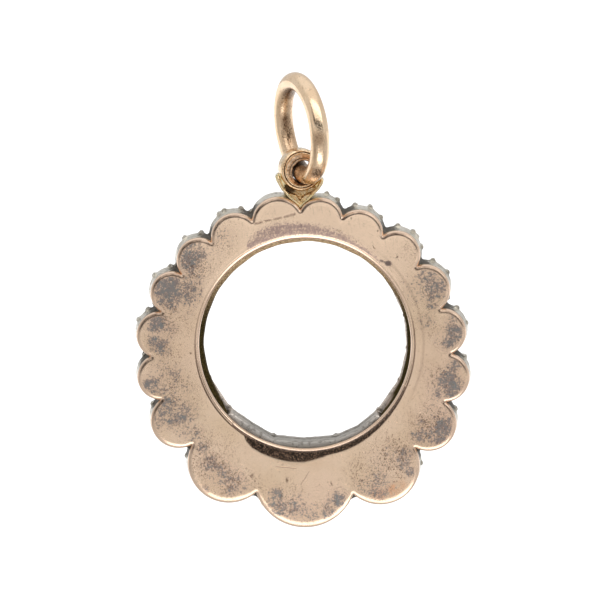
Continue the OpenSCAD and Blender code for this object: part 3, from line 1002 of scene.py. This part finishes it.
def silver_claws(metal):
    """The outer claws, two to four to a stone, and the grains between the stones on the inner side."""
    tree = claw_tree()
    outer, inner = [], []
    for i, (turn, _, r, claws) in enumerate(SCALLOPS):
        for claw in claws:
            facing = turn + claw
            reach = r + RIM_OVERHANG + 0.02 - 0.1 * (1 - math.cos(math.radians(facing)))
            outer.append((facing, scallop_centre(i) + polar(facing, reach), RIM_HEIGHT - 0.55))
        gap = notch_direction(i)
        reach = RIM_INNER + 0.16 - 0.05 * (1 - math.cos(math.radians(gap)))
        inner.append((gap + 180, polar(gap, reach), RIM_HEIGHT - 0.4))
    bent = claws_on("outer claws", tree, outer, CLAW_SIZES, metal)
    grains = claws_on("inner grains", tree, inner, GRAIN_SIZES, metal)
    inner_side = np.repeat([0.0, 1.0], [len(bent.vertices), len(grains.vertices)])
    claws = joined(bent, grains)
    set_mask(claws, "opening_side", inner_side)
    into_place(claws, IN_PLATE)
    return claws


def silver_collets():
    """The collets: a worn skin over the solid, lumpy by hand, with the dirt of its hollows."""
    mesh = worn_skin(closed_copy("silver_front"), 0.1, 3)
    points = corners_of(mesh)
    flat = points[:, [0, 2]] - np.array([PLATE_X, PLATE_Z])
    reach, to_notch = np.linalg.norm(flat, axis=1), to_notches(flat)
    lumps = 0.022 * uneven(points, 0.55, 2) + 0.012 * uneven(points, 0.22, 3)
    moved = points + normals_of(mesh) * lumps[:, None]
    # At the bottom the inner rim leans in over the opening and the walls bulge at the notches
    rim = np.clip((OPENING_R - reach) / 0.1, 0, 1) * np.clip((PLATE_BACK_Y - points[:, 1] - 1.9) / 0.15, 0, 1)
    spread = 0.09 * rim / reach * np.clip(-2.5 * flat[:, 1] / reach - 0.8, 0, 1)
    moved[:, [0, 2]] -= flat * spread[:, None]
    below = np.clip(-0.5 * flat[:, 1] - 2, 0, 1) * np.clip(2 * (points[:, 1] + 2), 0, 1)
    bulge = 0.24 * np.clip(1.3 - to_notch / 0.5, 0, 1) * below / reach
    moved[:, [0, 2]] += flat * bulge[:, None]
    place_corners(mesh, moved)
    # Dirt lies in the hollows and at the two ends of the gold lining
    ends = np.array([LINING_START, LINING_END]) % 360
    to_end = np.min(np.abs(direction_of(flat)[:, None] - ends), axis=1)
    at_end = 0.35 * np.clip(1.2 - to_end / 1.2, 0, 1) * (reach < OPENING_R + 0.05)
    set_mask(mesh, "hollow", np.maximum(hollows_of(mesh, 8, 0.05), at_end))
    # How near each point lies to a notch, where the silver is painted dark as shade
    set_mask(mesh, "in_notch", np.clip(1.5 - to_notch / 0.95, 0, 1))
    set_mask(mesh, "opening_side", np.clip((OPENING_R + 0.25 - reach) / 0.2, 0, 1))
    into_place(mesh)
    smooth_faces(mesh)
    return mesh


def old_silver():
    """Old silver: pale where it is rubbed, olive and black in the notches as painted shade, brown at the
    opening's top.
    """
    material, tree, shader, place = new_material("old_silver")
    age = aged(place, 1.1, 0.12, 0.5)
    inner, in_notch, high = mask_of(tree, "opening_side"), mask_of(tree, "in_notch"), split(place)[2]
    tint = mixed(age["Cloud"], colour(200, 195, 183), colour(236, 231, 220))
    wall = mixed(ramped(high, PLATE_Z - 6.2, PLATE_Z - 4.2), colour(172, 168, 163), colour(226, 212, 200))
    wall = mixed(ramped(high, PLATE_Z + 2.5, PLATE_Z + 6.0), wall, colour(120, 88, 54))
    tint = mixed(inner * 0.85, tint, wall)
    # Painted shade: olive-black in the notches, mottled, joined with the dark of the hollows and the specks
    notch_shade = in_notch + clouded(place, 0.35, detail=3.0, roughness=0.7) * 0.7
    notch_shade = ramped(notch_shade, 0.55, 1.1) * ramped(in_notch, 0.0, 0.2)
    dirt_and_shade = greatest(ramped(mask_of(tree, "hollow"), 0.05, 0.8), notch_shade)
    dirt_and_shade = greatest(dirt_and_shade * 0.9, age["Specks"] * 0.4)
    tint = mixed(dirt_and_shade, tint, colour(56, 46, 32))
    rough = blended(dirt_and_shade, blended(age["Cloud"], 0.4, 0.28), 0.55)
    rough = greatest(rough, inner * ramped(high, PLATE_Z - 4.2, PLATE_Z - 6.2) * 0.62)
    height = age["Grain"] - age["Hairlines"] * 0.2
    finish_metal(shader, tint, rough, blended(dirt_and_shade, 1.0, 0.7), height, 0.018)
    return material


# --- The stones ---------------------------------------------------------------------------------------------

def old_cut_stone():
    """A clear old-cut stone, a little rough in patches."""
    material, _, shader, place = new_material("old_cut_stone")
    shader["Transmission Weight"].default_value = 1.0
    shader["IOR"].default_value = 2.42
    warm = clouded(place, 2.5, detail=1.0)
    join(mixed(warm, colour(250, 251, 253), colour(254, 251, 244)), shader["Base Color"])
    join(ramped(clouded(place, 0.35, detail=3.0), 0.55, 1.0, 0.0, 0.05), shader["Roughness"])
    return material


# --- The loop and its cradle --------------------------------------------------------------------------------

def ring_place():
    """The jump ring's place: turned, leaning and hanging below the origin."""
    lean = Matrix.Rotation(math.radians(RING_LEAN), 4, "Y")
    turn = Matrix.Rotation(math.radians(RING_TURN), 4, "Z")
    return turn @ lean @ Matrix.Translation((0, 0, -RING_INNER / 2))


def loop_frame():
    """From the loop's own frame, its hole along the local depth, to the pendant's frame."""
    return Matrix.Translation((LOOP_X, LOOP_Y, LOOP_Z)) @ Matrix.Rotation(math.radians(LOOP_TURN), 4, "Z")


# The loop's section, round the closed outline: reach and depth towards the back, how much of it is worn metal
# and how much is dark, as dirt in its groove and as painted shade in its bore
LOOP_SECTION = (
    (1.33, -0.7, 0, 0), (1.44, -0.65, 0, 0), (1.505, -0.54, 0, 0), (1.525, -0.38, 0, 0), (1.525, 0.0, 0, 0),
    (1.525, 0.38, 0, 0), (1.508, 0.5, 0, 0), (1.465, 0.6, 0, 0), (1.41, 0.66, 0, 0), (1.36, 0.675, 0, 0),
    (1.325, 0.655, 0, 0.3), (1.3, 0.59, 0.3, 1), (1.275, 0.57, 0.4, 1), (1.25, 0.62, 0.3, 0.3),
    (1.215, 0.64, 0.1, 0), (1.17, 0.632, 0.2, 0), (1.12, 0.61, 0.6, 0), (1.07, 0.58, 1, 0.1),
    (1.02, 0.55, 0.8, 0.1), (0.98, 0.49, 1, 0.9), (0.94, 0.505, 0.7, 0.2), (0.87, 0.4, 1, 0.3),
    (0.828, 0.22, 0.8, 0.9), (0.796, 0.08, 0.6, 1), (0.788, -0.08, 0.6, 1), (0.812, -0.26, 0.6, 1),
    (0.857, -0.42, 0.6, 1), (0.905, -0.55, 0.6, 0.9), (0.98, -0.635, 0.7, 0.6), (1.08, -0.685, 0.5, 0.2),
    (1.22, -0.7, 0.2, 0),
)
# Where the jump ring's wire goes through the loop, and its direction there
WIRE_POINT, WIRE_WAY = (-0.229, -1.22, -5.871), (-0.3887, 0.8685, -0.3077)


def closed_curve(corners, between):
    """A smooth closed curve through corners, with that many points for each of them."""
    corners = np.array(corners, dtype=float)
    before, after, beyond = np.roll(corners, 1, 0), np.roll(corners, -1, 0), np.roll(corners, -2, 0)
    rows = []
    for k in range(between):
        t = k / between
        rows.append(0.5 * (2 * corners + (after - before) * t
                           + (2 * before - 5 * corners + 4 * after - beyond) * t**2
                           + (3 * corners - before - 3 * after + beyond) * t**3))
    return np.stack(rows, axis=1).reshape(-1, corners.shape[1])


def ridged_loop():
    """The loop: a rim, a groove, a second rim and a worn bevel that leads to its slanting hole."""
    columns = 220
    section = closed_curve(LOOP_SECTION, 4)
    reach, depth = section[:, 0], section[:, 1]
    own = loop_frame().inverted()
    point, way = own @ Vector(WIRE_POINT), own.to_3x3() @ Vector(WIRE_WAY)
    to_wire = np.clip((1.14 - reach) / 0.28, 0, 1)
    along = (depth - point.y) / way.y
    inward = (own @ ring_place().translation - point).normalized()
    bend = np.minimum(along, 0)**2 / (RING_INNER + RING_WIRE)
    aside = np.interp(depth, (-0.2, 0.2), (-0.045, -0.065))
    middle_x = to_wire * (point.x + along * way.x + bend * inward.x + aside)
    middle_z = to_wire * (point.z + along * way.z + bend * inward.z + 0.05)
    turn = np.arange(columns) * math.tau / columns
    x = middle_x[:, None] + reach[:, None] * np.cos(turn)
    z = middle_z[:, None] + reach[:, None] * np.sin(turn)
    y = np.broadcast_to(depth[:, None], x.shape)
    points = np.stack([x, y, z], axis=-1).reshape(-1, 3)
    mesh = joined(mesh_of("loop", points.tolist(), band_faces(len(section), columns, closed=True)))
    worn = np.repeat(np.clip(section[:, 2], 0, 1), columns)
    # The groove's dark is dirt, the bore's dark is painted shade
    dirt_and_shade = np.repeat(np.clip(section[:, 3], 0, 1), columns)
    lumps = (0.006 + 0.03 * worn) * uneven(points, 0.16, 6) + 0.014 * uneven(points, 0.5, 7)
    raise_corners(mesh, points, lumps)
    mesh.transform(loop_frame())
    return mesh, worn, dirt_and_shade


def round_wire(path, radii):
    """A round wire along a path of points, with its radius at each and closed ends."""
    around = 14
    path = np.array(path, dtype=float)
    ways = np.gradient(path, axis=0)
    ways /= np.linalg.norm(ways, axis=1)[:, None]
    across = np.cross(ways, (0.0, 0.0, 1.0))
    across /= np.linalg.norm(across, axis=1)[:, None]
    up = np.cross(across, ways)
    turn = np.arange(around) * math.tau / around
    rings = path[:, None] + np.array(radii)[:, None, None] * (across[:, None] * np.cos(turn)[:, None]
                                                             + up[:, None] * np.sin(turn)[:, None])
    count = len(path)
    ends = [tuple(range(around)), tuple(range((count - 1) * around, count * around))]
    return joined(mesh_of("wire", rings.reshape(-1, 3).tolist(), band_faces(count, around) + ends))


def prism(outline, low, high):
    """A straight block on the plate, from an outline and two heights above the gold back face."""
    count = len(outline)
    points = [(u, v, h) for h in (low, high) for u, v in outline]
    sides = [(k, (k + 1) % count, count + (k + 1) % count, count + k) for k in range(count)]
    mesh = mesh_of("block", points, [tuple(range(count)), tuple(range(count, 2 * count)), *sides])
    mesh.transform(IN_PLATE)
    return joined(mesh)


# The rounded border of the cradle, from the tip to a wing: sideways from the tip, height on the plate, height
# above the back face, and radius
CRADLE_BORDER = (
    (0.0, 9.96, 0.38, 0.11), (0.12, 10.03, 0.38, 0.075), (0.4, 10.29, 0.42, 0.065),
    (0.75, 10.62, 0.5, 0.07),
    (1.02, 10.89, 0.58, 0.085), (1.22, 11.1, 0.64, 0.11), (1.36, 11.36, 0.66, 0.135),
    (1.48, 11.6, 0.66, 0.15), (1.54, 11.78, 0.66, 0.15), (1.56, 11.9, 0.67, 0.12),
    (1.565, 11.98, 0.69, 0.05),
)


def cradle_border():
    """The bright rounded wire that edges the cradle: both wings and the V between them."""
    middle = LOOP_X - PLATE_X
    half = np.array(CRADLE_BORDER)
    whole = np.concatenate([half[:0:-1] * (-1, 1, 1, 1), half])
    spans = np.linspace(0, len(whole) - 1, 90)
    u, v, h, r = (np.interp(spans, np.arange(len(whole)), column) for column in whole.T)
    v = v + 0.1 * np.clip((v - 11.2) / 0.6, 0, 1) * np.sign(u)
    path = np.stack([middle + u, v, h], axis=1)
    for _ in range(2):
        path[1:-1] = (path[:-2] + 2 * path[1:-1] + path[2:]) / 4
    mesh = round_wire(path, r)
    mesh.transform(IN_PLATE)
    points = corners_of(mesh)
    raise_corners(mesh, points, 0.01 * uneven(points, 0.25, 8))
    return mesh


def winged_cradle():
    """The cradle: two narrow wings beside the loop, thin borders, and the deep hollow that they enclose."""
    middle = LOOP_X - PLATE_X
    tip, deep_from, floor, loop_r = 10.02, 10.5, 1.05, 1.44
    side = [(1.0, 10.98), (1.12, 11.1), (1.12, 11.35)]
    both = [(middle + u, v) for u, v in side] + [(middle - u, v) for u, v in reversed(side)]
    mesh = cut_away(closed_copy("suspension_loop"), prism([(middle, tip)] + both, -0.6, 0.5))
    mesh = cut_away(mesh, prism([(middle, deep_from)] + both, -0.6, floor))
    work = bmesh.new()
    bmesh.ops.create_cone(work, cap_ends=True, segments=64, radius1=loop_r, radius2=loop_r, depth=4)
    inside = bpy.data.meshes.new("inside of the loop")
    work.to_mesh(inside)
    work.free()
    inside.transform(loop_frame() @ Matrix.Rotation(math.radians(90), 4, "X"))
    mesh = cut_away(mesh, inside)
    mesh = worn_skin(mesh, 0.036, 3)
    points = corners_of(mesh)
    height = PLATE_BACK_Y - points[:, 1]
    sideways, up = np.abs(points[:, 0] - LOOP_X), points[:, 2] - PLATE_Z
    half = np.interp(up, (tip, side[0][1], side[2][1]), (0, side[0][0], side[2][0]))
    in_hollow = np.clip((half + 0.04 - sideways) / 0.05, 0, 1) * np.clip((height - 0.3) / 0.15, 0, 1)
    in_hollow *= (height < floor + 0.2) * (up < side[2][1] + 0.1)
    lumps = (0.012 + 0.05 * in_hollow) * uneven(points, 0.22, 4) + 0.012 * uneven(points, 0.6, 5)
    raise_corners(mesh, points, lumps)
    return mesh, in_hollow


def loop_and_cradle():
    """The loop and the cradle, soldered, with their worn metal and the dark of their hollows: dirt, and
    painted shade in the loop's bore.
    """
    loop, worn, dirt_and_shade = ridged_loop()
    cradle, in_hollow = winged_cradle()
    sunk = hollows_of(cradle, 6, 0.04)
    points = corners_of(cradle)
    darker = np.clip((points[:, 0] - LOOP_X - 0.2) / 0.3, 0, 1) * np.clip((points[:, 2] + 7.5) / 0.2, 0, 1)
    # The cradle is darker in its hollows, most of all beside the left wing
    cradle_darkening = np.maximum(sunk, in_hollow * (0.35 + 0.65 * darker))
    border = cradle_border()
    clean = np.zeros(len(border.vertices))
    mesh = joined(loop, cradle, border)
    set_mask(mesh, "worn_face", np.concatenate([worn, 0.5 * in_hollow, clean]))
    set_mask(mesh, "hollow", np.concatenate([dirt_and_shade, cradle_darkening, clean]))
    set_mask(mesh, "rosy", np.concatenate([np.ones(len(worn)), np.zeros(len(points)), clean + 0.4]))
    into_place(mesh)
    smooth_faces(mesh)
    return mesh


def yellow_gold():
    """Yellow gold, rosier on the loop, bright on its rims, brown and pitted where it is worn, dark in its
    hollows, partly as painted shade.
    """
    material, tree, shader, place = new_material("yellow_gold")
    age = aged(place, 0.5, 0.07, 0.45)
    worn, (x, _, z) = mask_of(tree, "worn_face"), split(place)
    cradle = mixed(age["Cloud"], colour(214, 190, 134), colour(244, 228, 186))
    loop = mixed(age["Cloud"], colour(236, 202, 162), colour(248, 222, 188))
    tint = mixed(mask_of(tree, "rosy"), cradle, loop)
    pits = clouded(place, 0.12, detail=3.0, roughness=0.7)
    patchy = ramped(clouded(place, 0.16, detail=3.0, roughness=0.75), 0.2, 0.75)
    brown = mixed(patchy, colour(98, 80, 70), colour(242, 224, 206))
    orange = greatest(ramped(x, LOOP_X + 0.15, LOOP_X - 0.4), ramped(z, LOOP_Z - 0.35, LOOP_Z - 0.8))
    brown = mixed(orange * 0.7, brown, colour(228, 160, 92))
    tint = mixed(worn * blended(pits, 0.9, 0.6), tint, brown)
    # Dark in the hollows: dirt in the loop's groove, painted shade in its bore, and darker hollows in the
    # cradle
    dirt_and_shade = ramped(mask_of(tree, "hollow") * blended(pits, 1.15, 0.8), 0.1, 1.0)
    dirt_and_shade = greatest(dirt_and_shade, age["Specks"] * 0.5)
    tint = mixed(dirt_and_shade * 0.92, tint, colour(62, 44, 30))
    rough = blended(greatest(dirt_and_shade, worn), 0.13, 0.36)
    finish_metal(shader, tint, rough, 1.0, age["Grain"] * blended(worn, 0.35, 1.2), 0.03)
    return material


# --- The jump ring ------------------------------------------------------------------------------------------

# Brown and pitted places of the ring, partly wear and partly painted dark reflections, as the back is seen:
# right and up from the middle of the opening, half width, half height, how much of it is on the inner side
# only, how brown and how pitted
RING_MARKS_AND_REFLECTIONS = (
    (0.98, 15.6, 0.4, 0.55, 0, 0.8, 0.3), (0.70, 14.9, 0.09, 1.1, 0, 0.6, 0),
    (1.27, 14.8, 0.09, 1.0, 0, 0.55, 0), (0.9, 12.85, 0.36, 0.5, 0, 0.85, 1),
    (-1.38, 15.4, 0.28, 0.65, 0.6, 0.85, 0.8), (-1.05, 17.95, 0.75, 0.65, 1, 0.9, 0.7),
    (-1.15, 14.5, 0.2, 0.6, 0.6, 0.3, 1),
)
# The stretch of the wire's far side that shows through the loop, painted brown as shade: right, up, half
# width, half height
RING_SHADE_IN_LOOP = (-0.57, 12.6, 0.7, 0.7)


def ring_marks_and_reflections(mesh):
    """Where the placed ring is brown, by wear and by painted dark reflections and shade, and where it is
    pitted, by the table and by its inner side.
    """
    points = corners_of(mesh) / MM
    inner = np.empty(len(points), dtype=np.float32)
    mesh.attributes["inner_side"].data.foreach_get("value", inner)
    seen_right = PLATE_X - points[:, 0]
    seen_up = points[:, 2] - PLATE_Z + (points[:, 1] - PLATE_BACK_Y) * math.tan(math.radians(CAMERA_RISE))
    near = points[:, 1] > -0.6

    def patch(right, up, wide, high):
        """1 in the middle of a place, fading to 0 round it."""
        return np.clip(1.5 - np.hypot((seen_right - right) / wide, (seen_up - up) / high), 0, 1)

    brown, pitted = np.zeros(len(points)), np.zeros(len(points))
    for *where, inside, how_brown, how_pitted in RING_MARKS_AND_REFLECTIONS:
        here = patch(*where) * (1 - inside * (1 - np.clip(2 * inner, 0, 1)))
        here *= near if inside == 0 else 1
        brown, pitted = np.maximum(brown, how_brown * here), np.maximum(pitted, how_pitted * here)
    # The wire inside the loop is painted brown as shade
    here = patch(*RING_SHADE_IN_LOOP) * ~near
    set_mask(mesh, "brown", np.maximum(brown, here))
    set_mask(mesh, "pitted", np.maximum(pitted, 0.5 * here))


RING_SIZES = {
    "Ring radius": (RING_INNER + RING_WIRE) / 2, "Wire radius": RING_WIRE / 2, "Unevenness": 0.03,
    "Wear": 0.03, "Seed": 2,
}


def wire_ring_tree():
    """A round wire swept round a circle, a little uneven, and worn flatter on its inner side."""
    tree, given, out = geometry_tree("wire ring", RING_SIZES)
    ring_r, wire_r = given["Ring radius"], given["Wire radius"]
    path = add(tree, "GeometryNodeCurvePrimitiveCircle", {"Resolution": 192, "Radius": ring_r})
    here = add(tree, "GeometryNodeInputPosition")
    lumps = {"Vector": here, "W": given["Seed"], "Scale": 0.45, "Detail": 1.0}
    lumps = add(tree, "ShaderNodeTexNoise", lumps, noise_dimensions="4D")
    radius = wire_r * (1.0 + (lumps - 0.5) * given["Unevenness"])
    section = add(tree, "GeometryNodeCurvePrimitiveCircle", {"Resolution": 56, "Radius": 1.0})
    wire = {"Curve": path, "Profile Curve": section, "Scale": radius}
    ring = add(tree, "GeometryNodeCurveToMesh", wire)
    flat = vectors("MULTIPLY", here, (1.0, 1.0, 0.0))
    worn = ramped((ring_r - vectors("LENGTH", flat, output=1)) / wire_r, 0.35, 0.95)
    mark = {"Geometry": ring, "Name": "inner_side", "Value": worn}
    marked = add(tree, "GeometryNodeStoreNamedAttribute", mark, data_type="FLOAT", domain="POINT")
    shift = scaled(vectors("NORMALIZE", flat), worn * given["Wear"] * wire_r)
    moved = add(tree, "GeometryNodeSetPosition", {"Geometry": marked, "Offset": shift})
    finish_solid(moved, given["Metal"], out)
    return tree


def jump_ring_wire(metal):
    """The jump ring in its place: its wire round the origin, turned and leaning as it hangs."""
    start = in_scene("ring path", bpy.data.meshes.new("ring path"))
    mesh = run_tree(start, wire_ring_tree(), {**RING_SIZES, "Metal": metal})
    into_place(mesh, ring_place() @ Matrix.Rotation(math.radians(90), 4, "Y"))
    mesh = joined(mesh)
    ring_marks_and_reflections(mesh)
    return mesh


def ring_gold():
    """Pale gold wire: polished outside, brown, pitted and scratched where the chain and the loop rub it, with
    dark reflections and the shade inside the loop painted on in brown.
    """
    material, tree, shader, place = new_material("ring_gold")
    age = aged(place, 1.6, 0.12, 0.35)
    inner = mask_of(tree, "inner_side")
    tint = mixed(age["Cloud"], colour(238, 206, 170), colour(247, 220, 188))
    rubbed = inner * blended(clouded(place, 0.5, detail=3.0), 0.35, 1.0)
    tint = mixed(rubbed * 0.6, tint, colour(158, 122, 92))
    pits = clouded(place, 0.1, detail=3.0, roughness=0.8)
    # Brown marks: wear, painted dark reflections and the painted shade inside the loop
    brown = mask_of(tree, "brown") * blended(pits, 0.6, 1.1)
    tint = mixed(brown * 0.85, tint, colour(112, 80, 56))
    pitted = ramped(mask_of(tree, "pitted") * 0.45 + pits, 0.8, 1.0)
    tint = mixed(pitted * 0.9, tint, colour(52, 36, 24))
    tint = mixed(age["Specks"] * blended(inner, 0.25, 0.7), tint, colour(108, 80, 58))
    rubbed = greatest(rubbed, brown, pitted)
    height = age["Grain"] * blended(rubbed, 0.2, 1.0) - age["Hairlines"] * 0.15
    finish_metal(shader, tint, blended(rubbed, 0.17, 0.34), 1.0, height, 0.03)
    return material


# --- Floor, light and camera --------------------------------------------------------------------------------

def glowing_floor():
    """A plain pale floor well below the pendant that glows, though it is no lamp: white behind the pendant,
    dark just in front of it and soft further towards the camera.
    """
    half, low = 3.0, -0.06
    corners = [(-half, -half, low), (half, -half, low), (half, half, low), (-half, half, low)]
    mesh = mesh_of("floor", corners, [(0, 1, 2, 3)])
    material, _, shader, place = new_material("glowing_floor")
    depth = split(place)[1]
    glow = mixed(ramped(depth, 110.0, 230.0), (0.0, 0.0, 0.0, 1), (0.36, 0.36, 0.36, 1))
    glow = mixed(ramped(depth, 0.0, -110.0), glow, (0.75, 0.75, 0.75, 1))
    join(glow, shader["Emission Color"])
    shader["Emission Strength"].default_value = 1.0
    shader["Base Color"].default_value = (0.6, 0.6, 0.6, 1)
    shader["Roughness"].default_value = 0.9
    mesh.materials.append(material)
    in_scene("floor", mesh)


def soft_studio():
    """Soft light from all round, with a dark room behind the camera."""
    world = bpy.data.worlds.new("studio")
    bpy.context.scene.world = world
    world.use_nodes = True
    tree = world.node_tree
    tree.nodes.clear()
    way = vectors("NORMALIZE", add(tree, "ShaderNodeTexCoord", output="Generated"))
    _, y, z = split(way)
    towards_back = y / maths("SQRT", greatest(1e-6, 1.0 - z * z))
    dark_side = ramped(towards_back, 0.55, 0.8) * ramped(z, 0.6, 0.5)
    far_side = ramped(towards_back, -0.3, -0.9) * ramped(z, 0.5, 0.2)
    light = blended(far_side, 0.72, 0.7)
    light = blended(ramped(z, 0.55, 0.85), light, 0.95)
    light = blended(dark_side, light, 0.09)
    white = (1.0, 1.0, 1.0, 1.0)
    shine = add(tree, "ShaderNodeBackground", {"Color": white, "Strength": light})
    plain = add(tree, "ShaderNodeBackground", {"Color": white, "Strength": 1.0})
    seen = add(tree, "ShaderNodeLightPath", output="Is Camera Ray")
    both = add(tree, "ShaderNodeMixShader", {0: seen, 1: shine, 2: plain})
    join(both, tree.nodes.new("ShaderNodeOutputWorld").inputs["Surface"])


def soft_panel(name, turn, rise, distance, size, brightness):
    """A soft light panel that faces the pendant, from a turn to the right of the camera's side and a rise."""
    turn, rise = math.radians(turn), math.radians(rise)
    middle = Vector((0, 0, PLATE_Z)) * MM
    way = Vector((-math.sin(turn) * math.cos(rise), math.cos(turn) * math.cos(rise), math.sin(rise)))
    data = bpy.data.lights.new(name, "AREA")
    data.shape = "RECTANGLE"
    data.size, data.size_y = (side * MM for side in size)
    data.energy = brightness * math.pi * data.size * data.size_y
    panel = in_scene(name, data)
    panel.location = middle + way * distance * MM
    panel.rotation_euler = (-way).to_track_quat("-Z", "Y").to_euler()
    panel.visible_camera = False


def back_camera():
    """A long lens, a little above the pendant on the gold back's side."""
    target = Vector((-0.172, 0.05, -15.02)) * MM
    rise, distance, view_width = math.radians(CAMERA_RISE), 400 * MM, 42.96 * MM
    data = bpy.data.cameras.new("camera")
    data.sensor_width = 36
    data.lens = data.sensor_width * distance / view_width
    data.clip_start, data.clip_end = 0.01, 10
    camera = in_scene("camera", data)
    camera.location = target + distance * Vector((0, math.cos(rise), math.sin(rise)))
    camera.rotation_euler = (target - camera.location).to_track_quat("-Z", "Y").to_euler()
    bpy.context.scene.camera = camera


# --- The whole pendant --------------------------------------------------------------------------------------

back_camera()
glowing_floor()
soft_studio()
soft_panel("panel above the camera", turn=12, rise=41, distance=300, size=(520, 215), brightness=1.4)
soft_panel("card below the camera", turn=12, rise=-52, distance=46, size=(58, 25), brightness=2.0)
bpy.context.scene.view_settings.view_transform = "Standard"

piece_from("rose_gold_back", rose_gold_back(), rose_gold(), "pendant", ("back_plate",))
silver = old_silver()
piece_from("silver_collets", silver_collets(), silver, "pendant", ("silver_front",))
piece_from("silver_claws", silver_claws(silver), silver, "pendant")
piece_from("loop_and_cradle", loop_and_cradle(), yellow_gold(), "pendant",
           ("suspension_loop",))
wire_gold = ring_gold()
piece_from("jump_ring_wire", jump_ring_wire(wire_gold), wire_gold, "ring", ("jump_ring",))

stone_material = old_cut_stone()
for name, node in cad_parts.items():
    if name.startswith("stone_"):
        for slot in node.material_slots:
            slot.material = stone_material
